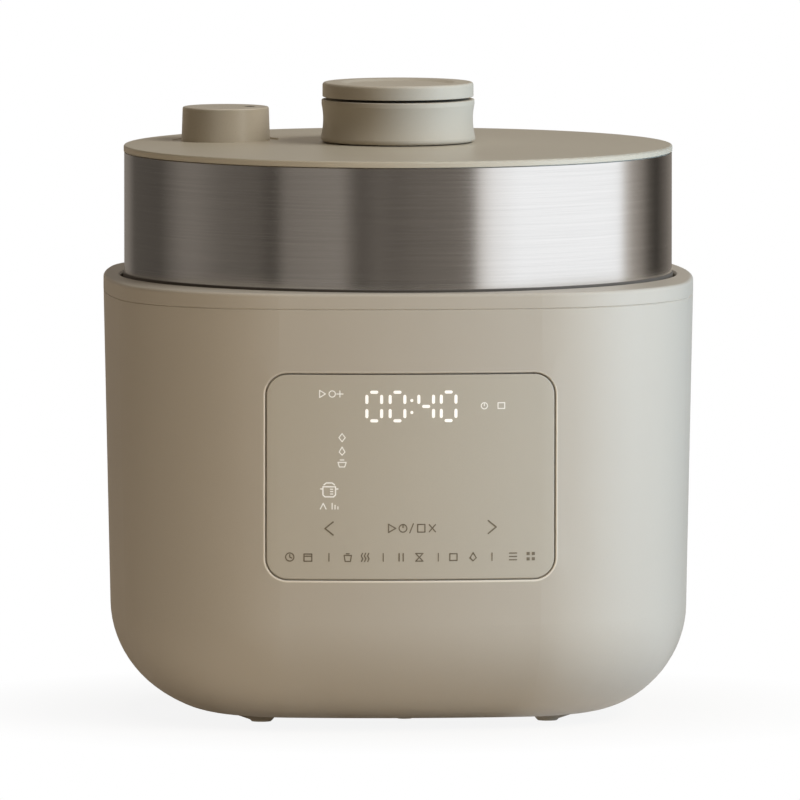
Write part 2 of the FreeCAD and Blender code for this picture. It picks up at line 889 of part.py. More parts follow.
def prism(label, width, tall, corner, level, near, far):
    # A rounded bar along the depth axis, from one distance in front of the axis to another.
    body = new_body(label)
    sketch = new_sketch(body, "XZ_Plane", near)
    round_rectangle(sketch, "0", level, width, tall, corner)
    doc.recompute()
    pad(body, sketch, "(%s) - (%s)" % (far, near))
    return body


# Housing shell: a rounded-square bucket with a draft, a window for the panel,
# a recess for the inlet and four corner bosses that carry the bayonet ring

outer_form = soft_block("outer_form", "0", "foot_height")
ease_level(outer_form, "seam_bevel", "seam_level", kind="Chamfer")
cavity_form = soft_block("cavity_form", "body_wall", "floor_top")
bucket = joined("Cut", "bucket", outer_form, cavity_form)

bosses = new_body("bosses", many=True)
sketch = new_sketch(bosses, "XY_Plane", "ring_level")
outline(sketch, [
    ("boss_reach - boss_width / 2", "-boss_width / 2"), ("boss_end", "-boss_width / 2"),
    ("boss_end", "boss_width / 2"), ("boss_reach - boss_width / 2", "boss_width / 2")])
doc.recompute()
boss = pad(bosses, sketch, "boss_height", down=True)
around(bosses, boss, "4")
sketch = new_sketch(bosses, "XY_Plane", "ring_level")
circles(sketch, [(x, y, "ring_screw + thread_play") for x, y in ring_spots("boss_reach", "0", 4)])
doc.recompute()
pocket(bosses, sketch, "ring_screw_length + blind_depth")
place_at(bosses, angle="45")

base_screw_spots = ring_spots("base_screw_reach", "30", 3)
foot_spots = ring_spots("foot_reach", "45", 4)

base_bosses = new_body("base_bosses", many=True)
sketch = new_sketch(base_bosses, "XY_Plane", "floor_top - play")
circles(sketch, [(x, y, "base_screw + base_boss") for x, y in base_screw_spots])
doc.recompute()
pad(base_bosses, sketch, "base_screw_length + blind_depth + play")

walls = fused("walls", [bucket, bosses, base_bosses])

recess_form = soft_block("recess_form", "panel_depth", "foot_height + panel_depth")
recess_bar = prism("recess_bar", "panel_width + 2 * panel_groove", "panel_tall + 2 * panel_groove",
                   "(panel_corner + panel_groove)", "panel_level", "bar_near", "bar_far")
recess = joined("Cut", "recess", recess_bar, recess_form)
window = prism("window", "guide_width + 2 * guide_gap", "guide_tall + 2 * guide_gap",
               "(guide_corner + guide_gap)", "panel_level", "screen_face - overcut", "bar_far")

openings = new_body("openings", many=True)
sketch = new_sketch(openings, "XY_Plane", "0")
circles(sketch, [("0", "0", "base_opening")])
doc.recompute()
pad(openings, sketch, "floor_top + play")
sketch = new_sketch(openings, "XY_Plane", "0")
circles(sketch, [("0", "0", "cover_radius + play")])
doc.recompute()
pad(openings, sketch, "cover_top")
sketch = new_sketch(openings, "XY_Plane", "0")
circles(sketch, [(x, y, "base_screw + thread_play") for x, y in base_screw_spots])
doc.recompute()
pad(openings, sketch, "floor_top + base_screw_length + blind_depth / 2")
sketch = new_sketch(openings, "XY_Plane", "0")
circles(sketch, [(x, y, "foot_stud + play / 2") for x, y in foot_spots])
doc.recompute()
pad(openings, sketch, "floor_top + play")

inlet_cut = new_body("inlet_cut")
sketch = new_sketch(inlet_cut, "XZ_Plane", "-inlet_seat")
round_rectangle(sketch, "0", "inlet_level", "inlet_width + 2 * play", "inlet_tall + 2 * play",
                "(inlet_corner + play)")
doc.recompute()
pad(inlet_cut, sketch, "inlet_flange + overcut", down=True)
sketch = new_sketch(inlet_cut, "XZ_Plane", "-inlet_seat - overcut / 2")
round_rectangle(sketch, "0", "inlet_level", "socket_out_width + 2 * play", "socket_out_tall + 2 * play",
                "(socket_corner + play)")
doc.recompute()
pad(inlet_cut, sketch, "body_wall + 2 * overcut")

cuts = fused("cuts", [recess, window, openings, inlet_cut])
shell_blank = joined("Cut", "shell_blank", walls, cuts)
keep(eased_mouth("housing_shell", shell_blank, [outer_form, recess_bar], "mouth_edge"))

# Rim ring: an inverted trough that closes the housing's top edge

rim = new_body("rim_ring")
sketch = new_sketch(rim, "XY_Plane", "seam_level")
soft_square(sketch, "0")
circles(sketch, [("0", "0", "opening_radius")])
doc.recompute()
pad(rim, sketch, "rim_height")
sketch = new_sketch(rim, "XY_Plane", "rim_top - rim_wall")
soft_square(sketch, "rim_wall")
circles(sketch, [("0", "0", "skirt_radius")])
doc.recompute()
pocket(rim, sketch, "rim_height")
sketch = new_sketch(rim, "XY_Plane", "ring_top")
circles(sketch, [("0", "0", "opening_radius"), ("0", "0", "skirt_radius")])
doc.recompute()
pad(rim, sketch, "rim_top - rim_wall - ring_top")
plan_radii = ["side_radius", "corner_radius"]
ease_level(rim, "rim_edge", "rim_top", radii=plan_radii)
ease_level(rim, "seam_bevel", "seam_level", kind="Chamfer", radii=plan_radii)
ease(rim, "rim_bevel", [("opening_radius", "rim_top")], kind="Chamfer")
keep(rim)

# Control panel: a curved plate that follows the front wall, with the light guide behind it

panel_bar = prism("panel_bar", "panel_width", "panel_tall", "panel_corner", "panel_level",
                  "bar_near", "bar_far")
panel_blank = joined("Common", "panel_blank", outer_form, panel_bar)
panel_plate = joined("Cut", "panel_plate", panel_blank, recess_form)
keep(eased_mouth("control_panel", panel_plate, [outer_form, panel_bar], "panel_edge"))

guide_bar = prism("guide_bar", "guide_width", "guide_tall", "guide_corner", "panel_level",
                  "bar_near", "bar_far")
guide_form = soft_block("guide_form", "panel_depth + guide_depth",
                        "foot_height + panel_depth + guide_depth")
guide_blank = joined("Common", "guide_blank", recess_form, guide_bar)
guide_plate = joined("Cut", "guide_plate", guide_blank, guide_form)
guide_legs = new_body("guide_legs", many=True)
sketch = new_sketch(guide_legs, "XZ_Plane", "screen_face")
legs = []
for across in ("guide_width / 2 - leg_inset", "leg_inset - guide_width / 2"):
    for upward in ("panel_level + guide_tall / 2 - leg_inset", "panel_level - guide_tall / 2 + leg_inset"):
        legs.append((across, upward, "guide_leg"))
circles(sketch, legs)
doc.recompute()
pad(guide_legs, sketch, "guide_back + guide_depth / 2 - guide_bend - screen_face")
keep(fused("light_guide", [guide_plate, guide_legs]))

screen = new_body("display_board", many=True)
sketch = new_sketch(screen, "XZ_Plane", "screen_face - board_gauge")
round_rectangle(sketch, "0", "panel_level", "guide_width - 2 * guide_gap", "guide_tall - 2 * guide_gap",
                "board_corner")
doc.recompute()
pad(screen, sketch, "board_gauge")
sketch = new_sketch(screen, "XZ_Plane", "screen_face - board_gauge")
rectangle(sketch, "-guide_width / 4", "panel_level - chip_side / 2", "chip_side", "chip_side")
rectangle(sketch, "guide_width / 5", "panel_level + chip_side / 2", "chip_side * 1.6", "chip_side * 0.7")
rectangle(sketch, "guide_width / 8", "panel_level - chip_side * 1.5", "chip_side * 1.1", "chip_side * 0.4")
doc.recompute()
pad(screen, sketch, "chip_rise", down=True)
keep(screen)

# Feet: four slanted rubber pads, each tread set in from its root, with studs through the floor

feet = new_body("feet", many=True)
rounds = []
for reach, radius, level in (
        ("foot_reach - foot_lean", "foot_tread - foot_edge", "0"),
        ("foot_reach - foot_lean", "foot_tread", "foot_edge"),
        ("foot_reach", "foot_radius", "foot_height")):
    sketch = new_sketch(feet, "XY_Plane", level)
    circles(sketch, [(x, y, radius) for x, y in ring_spots(reach, "45", 4)[:1]])
    rounds.append(sketch)
doc.recompute()
foot = loft(feet, rounds)
around(feet, foot, "4")
sketch = new_sketch(feet, "XY_Plane", "foot_height")
circles(sketch, [(x, y, "foot_stud") for x, y in foot_spots])
doc.recompute()
pad(feet, sketch, "body_wall + stud_rise")
keep(feet)

# Base cover with air slots and four board posts

board_spots = []
for across in ("post_inset - board_long / 2", "board_long / 2 - post_inset"):
    for along in ("post_inset - board_wide / 2", "board_wide / 2 - post_inset"):
        board_spots.append((across, along))

base_cover = new_body("base_cover")
sketch = new_sketch(base_cover, "XY_Plane", "foot_height")
circles(sketch, [("0", "0", "cover_radius")])
doc.recompute()
pad(base_cover, sketch, "cover_gauge")
sketch = new_sketch(base_cover, "XY_Plane", "cover_top")
slots = round(value("slot_count"))
for number in range(slots):
    rectangle(sketch, "0", "slot_pitch * %s" % (number - (slots - 1) / 2), "slot_length", "slot_width")
circles(sketch, [(x, y, "base_screw + screw_play") for x, y in base_screw_spots])
doc.recompute()
pocket(base_cover, sketch, "cover_gauge + play")
sketch = new_sketch(base_cover, "XY_Plane", "cover_top")
circles(sketch, [(x, y, "board_post") for x, y in board_spots])
doc.recompute()
pad(base_cover, sketch, "post_height")
keep(base_cover)

base_screws = new_body("base_screws", many=True)
sketch = new_sketch(base_screws, "XY_Plane", "foot_height")
circles(sketch, [(x, y, "base_head") for x, y in base_screw_spots])
doc.recompute()
pad(base_screws, sketch, "base_head_rise", down=True)
sketch = new_sketch(base_screws, "XY_Plane", "foot_height")
circles(sketch, [(x, y, "base_screw") for x, y in base_screw_spots])
doc.recompute()
pad(base_screws, sketch, "body_wall + base_screw_length")
sketch = new_sketch(base_screws, "XY_Plane", "foot_height - base_head_rise")
for x, y in base_screw_spots:
    rectangle(sketch, x, y, "1.2 * base_head", "drive_slot")
doc.recompute()
pocket(base_screws, sketch, "base_head_rise / 2", along=True)
keep(base_screws)

# Power board on the cover's posts

power_board = new_body("power_board")
sketch = new_sketch(power_board, "XY_Plane", "board_level")
round_rectangle(sketch, "0", "0", "board_long", "board_wide", "board_corner")
doc.recompute()
pad(power_board, sketch, "board_gauge")
keep(power_board)

board_parts = new_body("board_parts", many=True)
sketch = new_sketch(board_parts, "XY_Plane", "board_top")
rectangle(sketch, "-relay_reach", "board_wide / 4", "relay_side", "relay_side * 1.2")
rectangle(sketch, "-relay_reach", "-board_wide / 4", "relay_side", "relay_side")
rectangle(sketch, "relay_reach", "-board_wide / 4", "relay_side", "relay_side * 1.3")
circles(sketch, [("relay_reach", "board_wide / 4", "relay_side * 0.42")])
doc.recompute()
pad(board_parts, sketch, "relay_height")
keep(board_parts)

# Power inlet in the rear wall: a flanged three-pin socket

inlet = new_body("power_inlet")
sketch = new_sketch(inlet, "XZ_Plane", "-inlet_face")
round_rectangle(sketch, "0", "inlet_level", "inlet_width", "inlet_tall", "inlet_corner")
doc.recompute()
pad(inlet, sketch, "inlet_flange")
sketch = new_sketch(inlet, "XZ_Plane", "-inlet_seat")
round_rectangle(sketch, "0", "inlet_level", "socket_out_width", "socket_out_tall", "socket_corner")
doc.recompute()
pad(inlet, sketch, "inlet_length - inlet_flange")
sketch = new_sketch(inlet, "XZ_Plane", "-inlet_face")
outline(sketch, [
    ("-socket_width / 2", "inlet_level - socket_tall / 2"),
    ("socket_width / 2", "inlet_level - socket_tall / 2"),
    ("socket_width / 2", "inlet_level + socket_tall / 2 - socket_bevel"),
    ("socket_width / 2 - socket_bevel", "inlet_level + socket_tall / 2"),
    ("socket_bevel - socket_width / 2", "inlet_level + socket_tall / 2"),
    ("-socket_width / 2", "inlet_level + socket_tall / 2 - socket_bevel")])
doc.recompute()
pocket(inlet, sketch, "socket_depth", along=True)
keep(inlet)

inlet_pins = new_body("inlet_pins", many=True)
sketch = new_sketch(inlet_pins, "XZ_Plane", "socket_depth - inlet_face")
rectangle(sketch, "-pin_pitch", "inlet_level - pin_step", "pin_gauge", "pin_width")
rectangle(sketch, "pin_pitch", "inlet_level - pin_step", "pin_gauge", "pin_width")
rectangle(sketch, "0", "inlet_level + pin_step", "pin_gauge", "pin_width")
doc.recompute()
pad(inlet_pins, sketch, "socket_depth - pin_short", down=True)
keep(inlet_pins)

# Outer pot: a stepped steel bucket that carries the ring and the inner pot

tube_ends = [
    ("tube_ring", "0"),
    ("tube_ring * cos(tube_sweep)", "tube_ring * sin(tube_sweep)")]

outer_pot = new_body("outer_pot")
revolve(outer_pot, [
    ("sensor_hole", "outer_floor"), ("outer_radius + outer_gauge", "outer_floor"),
    ("outer_radius + outer_gauge", "ledge_level - outer_gauge"),
    ("well_radius + outer_gauge", "ledge_level - outer_gauge"),
    ("well_radius + outer_gauge", "ring_level - outer_gauge"),
    ("well_radius + well_flange", "ring_level - outer_gauge"),
    ("well_radius + well_flange", "ring_level"), ("well_radius", "ring_level"),
    ("well_radius", "ledge_level"),
    ("outer_radius", "ledge_level"), ("outer_radius", "inner_floor"), ("sensor_hole", "inner_floor")])
ease(outer_pot, "outer_round", [("outer_radius", "inner_floor")])
ease(outer_pot, "outer_round + outer_gauge", [("outer_radius + outer_gauge", "outer_floor")])
sketch = new_sketch(outer_pot, "XY_Plane", "inner_floor + play")
circles(sketch, [(x, y, "tube_radius + tube_play") for x, y in tube_ends])
doc.recompute()
pocket(outer_pot, sketch, "outer_gauge + 2 * play")
keep(outer_pot)

# Bayonet ring with inward teeth and four corner ears

ear_spots = ring_spots("boss_reach", "45", 4)

bayonet = new_body("bayonet_ring")
sketch = new_sketch(bayonet, "XY_Plane", "ring_level")
circles(sketch, [("0", "0", "ring_radius"), ("0", "0", "tooth_root")])
doc.recompute()
pad(bayonet, sketch, "ring_gauge")
sketch = new_sketch(bayonet, "XY_Plane", "ring_level")
outline(sketch, sector("tooth_tip", "tooth_root + tooth_length / 2", "lug_pitch / 2 - tooth_angle / 2",
                       "lug_pitch / 2 + tooth_angle / 2"))
doc.recompute()
tooth = pad(bayonet, sketch, "ring_gauge")
around(bayonet, tooth, "lug_count")
sketch = new_sketch(bayonet, "XY_Plane", "ring_level")
ear_half = "(boss_width / 2 + ear_margin)"
ear_root = "(ring_radius - ring_width / 3)"
ear_end = "(boss_reach + boss_width / 2)"
outline(sketch, [
    ("(%s + %s) * cos(45)" % (ear_root, ear_half), "(%s - %s) * sin(45)" % (ear_root, ear_half)),
    ("(%s + %s) * cos(45)" % (ear_end, ear_half), "(%s - %s) * sin(45)" % (ear_end, ear_half)),
    ("(%s - %s) * cos(45)" % (ear_end, ear_half), "(%s + %s) * sin(45)" % (ear_end, ear_half)),
    ("(%s - %s) * cos(45)" % (ear_root, ear_half), "(%s + %s) * sin(45)" % (ear_root, ear_half))])
doc.recompute()
ear = pad(bayonet, sketch, "ring_gauge")
around(bayonet, ear, "4")
sketch = new_sketch(bayonet, "XY_Plane", "ring_top")
circles(sketch, [(x, y, "ring_screw + screw_play") for x, y in ear_spots])
doc.recompute()
pocket(bayonet, sketch, "ring_gauge + play")
keep(bayonet)

ring_screws = new_body("ring_screws", many=True)
sketch = new_sketch(ring_screws, "XY_Plane", "ring_top")
circles(sketch, [(x, y, "ring_head") for x, y in ear_spots])
doc.recompute()
pad(ring_screws, sketch, "ring_head_rise")
sketch = new_sketch(ring_screws, "XY_Plane", "ring_top")
circles(sketch, [(x, y, "ring_screw") for x, y in ear_spots])
doc.recompute()
pad(ring_screws, sketch, "ring_gauge + ring_screw_length", down=True)
keep(ring_screws)

# Heating plate on three legs, with the heating tube let into its underside

heater = new_body("heating_plate")
revolve(heater, [
    ("sensor_radius + sensor_play", "heater_level"), ("heater_radius", "heater_level"),
    ("heater_radius", "heater_top - heater_bevel"), ("heater_radius - heater_bevel", "heater_top"),
    ("sensor_radius + sensor_play", "heater_top")])
groove(heater, ring=("tube_ring", "tube_level", "tube_radius"))
sketch = new_sketch(heater, "XY_Plane", "inner_floor")
circles(sketch, [(x, y, "heater_leg") for x, y in ring_spots("leg_reach", "90", 3)])
doc.recompute()
pad(heater, sketch, "heater_level - inner_floor + heater_gauge / 7")
keep(heater)

tube = new_body("heating_tube")
sketch = new_sketch(tube, "XZ_Plane")
circles(sketch, [("tube_ring", "tube_level", "tube_radius")])
doc.recompute()
bend = tube.newObject("PartDesign::Revolution", "tube_bend")
bend.Profile = sketch
bend.ReferenceAxis = (sketch, ["V_Axis"])
bind(bend, "Angle", "tube_sweep")
tube.Tip = bend
doc.recompute()
sketch = new_sketch(tube, "XY_Plane", "tube_level")
circles(sketch, [(x, y, "tube_radius") for x, y in tube_ends])
doc.recompute()
pad(tube, sketch, "tube_level - outer_floor + tube_tail", down=True)
keep(tube)

# Pot sensor: a sprung button in the middle of the plate, its spring and its holder

holder = new_body("sensor_holder")
revolve(holder, [
    ("holder_bore", "holder_floor"), ("holder_radius", "holder_floor"),
    ("holder_radius", "outer_floor - holder_wall"),
    ("holder_radius + holder_lip", "outer_floor - holder_wall"),
    ("holder_radius + holder_lip", "outer_floor"), ("holder_radius - holder_wall", "outer_floor"),
    ("holder_radius - holder_wall", "holder_floor + holder_wall"),
    ("holder_bore", "holder_floor + holder_wall")])
keep(holder)

sensor = new_body("pot_sensor")
revolve(sensor, [
    ("0", "outer_floor - sensor_drop"), ("sensor_stem", "outer_floor - sensor_drop"),
    ("sensor_stem", "outer_floor + shoulder_rise"), ("sensor_radius", "outer_floor + shoulder_rise"),
    ("sensor_radius", "pot_floor"), ("0", "pot_floor")])
ease(sensor, "sensor_edge", [("sensor_radius", "pot_floor")])
keep(sensor)

sensor_spring = new_body("sensor_spring")
revolve(sensor_spring, [
    ("coil_radius", "holder_floor + holder_wall"), ("coil_radius + coil_gauge", "holder_floor + holder_wall"),
    ("coil_radius + coil_gauge", "outer_floor + shoulder_rise"),
    ("coil_radius", "outer_floor + shoulder_rise")])
keep(sensor_spring)

# Pressure switch under the outer pot

switch = new_body("pressure_switch", many=True)
sketch = new_sketch(switch, "XY_Plane", "outer_floor")
rectangle(sketch, "0", "-switch_reach", "switch_width", "switch_depth")
doc.recompute()
pad(switch, sketch, "switch_height", down=True)
sketch = new_sketch(switch, "XY_Plane", "outer_floor - switch_height")
for across in ("-tag_pitch", "0", "tag_pitch"):
    rectangle(sketch, across, "-switch_reach", "tag_gauge", "tag_width")
doc.recompute()
pad(switch, sketch, "tag_length", down=True)
keep(switch)

# Inner pot with a rolled-out flange

pot = new_body("inner_pot")
revolve(pot, [
    ("0", "pot_floor"), ("pot_radius - pot_round", "pot_floor", "pot_round", 1),
    ("pot_radius", "pot_floor + pot_round"), ("pot_radius", "pot_top - flange_gauge"),
    ("pot_flange", "pot_top - flange_gauge"), ("pot_flange", "pot_top"), ("pot_radius - pot_wall", "pot_top"),
    ("pot_radius - pot_wall", "pot_floor + pot_round", "pot_round - pot_wall", -1),
    ("pot_radius - pot_round", "pot_floor + pot_wall"), ("0", "pot_floor + pot_wall")])
keep(pot)

# Pressure lid and its seal ring, the seal resting on the pot's flange

pressure_lid = new_body("pressure_lid")
revolve(pressure_lid, [
    ("0", "crown_under"), ("crown_radius", "crown_under"), ("crown_radius + crown_slope", "lid_under"),
    ("lid_edge", "lid_under"), ("lid_edge", "lid_over"), ("crown_radius + crown_slope", "lid_over"),
    ("crown_radius", "crown_over"), ("0", "crown_over")])
sketch = new_sketch(pressure_lid, "XY_Plane", "crown_over")
circles(sketch, [("vent_x", "vent_y", "pipe_radius + pipe_neck + neck_play"),
                 ("float_x", "float_y", "float_stem + float_play")])
doc.recompute()
pocket(pressure_lid, sketch, "lid_sheet + 2 * crown_rise")
keep(pressure_lid)

seal = new_body("seal_ring")
revolve(seal, [
    ("seal_inside", "pot_top"), ("pot_flange", "pot_top"), ("pot_flange", "seal_top"),
    ("seal_inside", "seal_top"), ("seal_inside", "lid_over"),
    ("lid_edge", "lid_over"), ("lid_edge", "lid_under"), ("seal_inside", "lid_under")])
ease(seal, "seal_edge", [("pot_flange", "seal_top"), ("seal_inside", "seal_top")])
keep(seal)

# Posts that hang the pressure lid from the lid frame

posts = new_body("lid_posts", many=True)
spots = ring_spots("post_reach", "post_start", 3)
sketch = new_sketch(posts, "XY_Plane", "crown_over")
circles(sketch, [(x, y, "post_foot") for x, y in spots])
doc.recompute()
pad(posts, sketch, "plate_level - play - crown_over")
sketch = new_sketch(posts, "XY_Plane", "plate_level - play")
circles(sketch, [(x, y, "post_neck") for x, y in spots])
doc.recompute()
pad(posts, sketch, "frame_level - plate_level + play")
keep(posts)

# Lid frame: the floor of the drum, with a lip under the band and a hub for the shaft

lid_screw_spots = ring_spots("lid_screw_reach", "45", 4)

frame = new_body("lid_frame")
revolve(frame, [
    ("hub_bore", "frame_level"), ("lid_radius + foot_lip", "frame_level"),
    ("lid_radius + foot_lip", "band_foot"), ("plug_radius", "band_foot"),
    ("plug_radius", "band_foot + plug_height"), ("plug_bore", "band_foot + plug_height"),
    ("plug_bore", "frame_top"), ("hub_radius", "frame_top"), ("hub_radius", "hub_top"),
    ("hub_bore", "hub_top")])
ease(frame, "foot_lip_edge", [
    ("lid_radius + foot_lip", "band_foot"), ("lid_radius + foot_lip", "frame_level")])
sketch = new_sketch(frame, "XY_Plane", "frame_top")
circles(sketch, [("vent_x", "vent_y", "pipe_radius + vent_play")])
circles(sketch, [(x, y, "lid_screw + screw_play") for x, y in lid_screw_spots])
doc.recompute()
pocket(frame, sketch, "frame_gauge + play")
keep(frame)

# Steel band round the drum

band = new_body("lid_band")
revolve(band, [
    ("band_inside", "band_foot"), ("lid_radius", "band_foot"),
    ("lid_radius", "band_top - band_reveal"), ("band_inside", "band_top - band_reveal")])
keep(band)

# Lid cover: a shallow dome with a thin lip over the band

cover = new_body("lid_cover")
revolve(cover, [
    ("hub_bore", "dome_top - hub_drop"), ("hub_radius", "dome_top - hub_drop"), ("hub_radius", "lid_roof"),
    ("plug_bore", "lid_roof"), ("plug_bore", "band_top - cover_plug"),
    ("plug_radius", "band_top - cover_plug"), ("plug_radius", "band_top"), ("lip_radius", "band_top"),
    ("lip_radius", "lip_top - lip_edge", "lip_edge", 1),
    ("lip_radius - lip_edge", "lip_top", "dome_radius", 1),
    ("hub_bore", "lip_top + dome_rise - hub_bore^2 / (2 * dome_radius)")])
sketch = new_sketch(cover, "XY_Plane", "vent_pad")
circles(sketch, [("vent_x", "vent_y", "cap_radius + cap_margin")])
doc.recompute()
pocket(cover, sketch, "dome_rise + overcut", along=True)
sketch = new_sketch(cover, "XY_Plane", "vent_pad + play")
circles(sketch, [("vent_x", "vent_y", "weight_radius + weight_play")])
doc.recompute()
pocket(cover, sketch, "lid_gauge + 2 * play")
sketch = new_sketch(cover, "XY_Plane", "frame_top")
circles(sketch, [(x, y, "cover_boss") for x, y in lid_screw_spots])
doc.recompute()
pad(cover, sketch, "lid_roof - frame_top + lid_gauge / 4")
sketch = new_sketch(cover, "XY_Plane", "frame_top")
circles(sketch, [(x, y, "lid_screw + thread_play") for x, y in lid_screw_spots])
doc.recompute()
pocket(cover, sketch, "lid_screw_length + blind_depth", along=True)
keep(cover)

lid_screws = new_body("lid_screws", many=True)
sketch = new_sketch(lid_screws, "XY_Plane", "frame_level")
circles(sketch, [(x, y, "lid_head") for x, y in lid_screw_spots])
doc.recompute()
pad(lid_screws, sketch, "lid_head_rise", down=True)
sketch = new_sketch(lid_screws, "XY_Plane", "frame_level")
circles(sketch, [(x, y, "lid_screw") for x, y in lid_screw_spots])
doc.recompute()
pad(lid_screws, sketch, "frame_gauge + lid_screw_length")
keep(lid_screws)

# Vent pipe through the pressure lid, with the screen over its lower end

pipe = new_body("vent_pipe")
revolve(pipe, [
    ("pipe_bore", "lid_under - pipe_drop"), ("pipe_radius", "lid_under - pipe_drop"),
    ("pipe_radius", "lid_under - lid_sheet"), ("pipe_radius + pipe_flange", "lid_under - lid_sheet"),
    ("pipe_radius + pipe_flange", "lid_under"), ("pipe_radius + pipe_neck", "lid_under"),
    ("pipe_radius + pipe_neck", "lid_over"), ("pipe_radius + nut_width", "lid_over"),
    ("pipe_radius + nut_width", "nut_top"), ("pipe_radius", "nut_top"), ("pipe_radius", "pipe_top"),
    ("pipe_bore + needle_radius", "pipe_top"), ("pipe_bore", "pipe_top - needle_radius")])
place_at(pipe, "vent_x", "vent_y", "0", "vent_angle")
keep(pipe)

vent_screen = new_body("vent_screen")
screen_foot = "lid_under - screen_drop - screen_gauge"
revolve(vent_screen, [
    ("0", screen_foot), ("screen_radius", screen_foot), ("screen_radius", "lid_under"),
    ("screen_radius - screen_gauge", "lid_under"),
    ("screen_radius - screen_gauge", "lid_under - screen_drop"),
    ("0", "lid_under - screen_drop")])
sketch = new_sketch(vent_screen, "XY_Plane", "lid_under - screen_drop + play")
screen_spots = [("0", "0")] + ring_spots("screen_pitch", "0", 6)
circles(sketch, [(x, y, "screen_hole") for x, y in screen_spots])
doc.recompute()
pocket(vent_screen, sketch, "screen_gauge + 2 * play")
place_at(vent_screen, "vent_x", "vent_y", "0", "vent_angle")
keep(vent_screen)

# Vent weight: sits on the pipe, with a collar for the rocker's fork

weight = new_body("vent_weight")
revolve(weight, [
    ("0", "pipe_top - needle_drop"), ("needle_radius", "pipe_top"), ("needle_radius", "pipe_top + play"),
    ("weight_hollow", "pipe_top + play"), ("weight_hollow", "weight_foot"),
    ("weight_radius + weight_collar", "weight_foot"),
    ("weight_radius + weight_collar", "weight_foot + weight_step"),
    ("weight_radius", "weight_foot + weight_step"), ("weight_radius", "weight_top"), ("0", "weight_top")])
ease(weight, "weight_edge", [("weight_radius", "weight_top")])
place_at(weight, "vent_x", "vent_y", "0", "vent_angle")
keep(weight)

# Vent cap: a hollow cap with one steam hole

cap = new_body("vent_cap")
revolve(cap, [
    ("cap_inside", "vent_pad"), ("cap_radius", "vent_pad"), ("cap_radius - cap_taper", "cap_top"),
    ("0", "cap_top"), ("0", "cap_top - cap_roof"), ("cap_inside - cap_taper", "cap_top - cap_roof")])
ease(cap, "cap_edge", [("cap_radius - cap_taper", "cap_top")])
sketch = new_sketch(cap, "XY_Plane", "cap_top + play")
circles(sketch, [("steam_offset", "0", "steam_hole")])
doc.recompute()
pocket(cap, sketch, "cap_roof + 2 * play")
place_at(cap, "vent_x", "vent_y")
keep(cap)

# Rocker: a forked lever from under the button stem to under the vent weight

rocker = new_body("rocker_arm")
sketch = new_sketch(rocker, "XY_Plane", "rocker_level")
fork_shoulder = "vent_reach - fork_length"
arm_end = "pivot_reach + arm_straight"
outline(sketch, [
    ("-rocker_tail", "-rocker_half"), (arm_end, "-rocker_half"), (fork_shoulder, "-fork_half"),
    ("fork_end", "-fork_half"), ("fork_end", "-fork_slot"), ("fork_root", "-fork_slot"),
    ("fork_root", "fork_slot"), ("fork_end", "fork_slot"), ("fork_end", "fork_half"),
    (fork_shoulder, "fork_half"), (arm_end, "rocker_half"), ("-rocker_tail", "rocker_half")])
doc.recompute()
pad(rocker, sketch, "rocker_gauge")
sketch = new_sketch(rocker, "XZ_Plane", "-rocker_half")
circles(sketch, [("pivot_reach", "pivot_level", "pivot_radius + pivot_wall")])
doc.recompute()
pad(rocker, sketch, "2 * rocker_half")
sketch = new_sketch(rocker, "XZ_Plane", "bracket_width / 2")
circles(sketch, [("pivot_reach", "pivot_level", "pivot_radius + play")])
doc.recompute()
pocket(rocker, sketch, "bracket_width")
place_at(rocker, angle="vent_angle")
keep(rocker)

bracket = new_body("rocker_bracket")
sketch = new_sketch(bracket, "XY_Plane", "frame_top")
rectangle(sketch, "bracket_reach", "0", "bracket_length", "bracket_width")
doc.recompute()
pad(bracket, sketch, "bracket_floor")
sketch = new_sketch(bracket, "XY_Plane", "frame_top")
rectangle(sketch, "bracket_reach", "-cheek_offset", "bracket_length", "cheek_gauge")
rectangle(sketch, "bracket_reach", "cheek_offset", "bracket_length", "cheek_gauge")
doc.recompute()
pad(bracket, sketch, "pivot_level + cheek_rise - frame_top")
sketch = new_sketch(bracket, "XZ_Plane", "bracket_width")
circles(sketch, [("pivot_reach", "pivot_level", "pivot_radius + pivot_fit")])
doc.recompute()
pocket(bracket, sketch, "2 * bracket_width")
place_at(bracket, angle="vent_angle")
keep(bracket)

pin = new_body("rocker_pin")
sketch = new_sketch(pin, "XZ_Plane", "-bracket_width / 2")
circles(sketch, [("pivot_reach", "pivot_level", "pivot_radius")])
doc.recompute()
pad(pin, sketch, "bracket_width")
place_at(pin, angle="vent_angle")
keep(pin)

# Float valve and its gasket

float_valve = new_body("float_valve")
revolve(float_valve, [
    ("0", "lid_under - float_drop - foot_gauge"), ("float_foot", "lid_under - float_drop - foot_gauge"),
    ("float_foot", "lid_under - float_drop"), ("float_stem", "lid_under - float_drop"),
    ("float_stem", "lid_over"), ("float_head", "lid_over"), ("float_head", "lid_over + head_gauge"),
    ("0", "lid_over + head_gauge")])
place_at(float_valve, "float_x", "float_y", "0", "float_angle")
keep(float_valve)

gasket = new_body("float_gasket")
gasket_top = "lid_under - float_drop + gasket_gauge"
revolve(gasket, [
    ("float_stem", "lid_under - float_drop"), ("float_foot - play", "lid_under - float_drop"),
    ("float_foot - play", gasket_top), ("float_stem", gasket_top)])
place_at(gasket, "float_x", "float_y", "0", "float_angle")
keep(gasket)

# Lock plate: a disc with lugs that turn in under the ring's teeth

shaft_screw_spots = ring_spots("shaft_screw_reach", "30", 3)

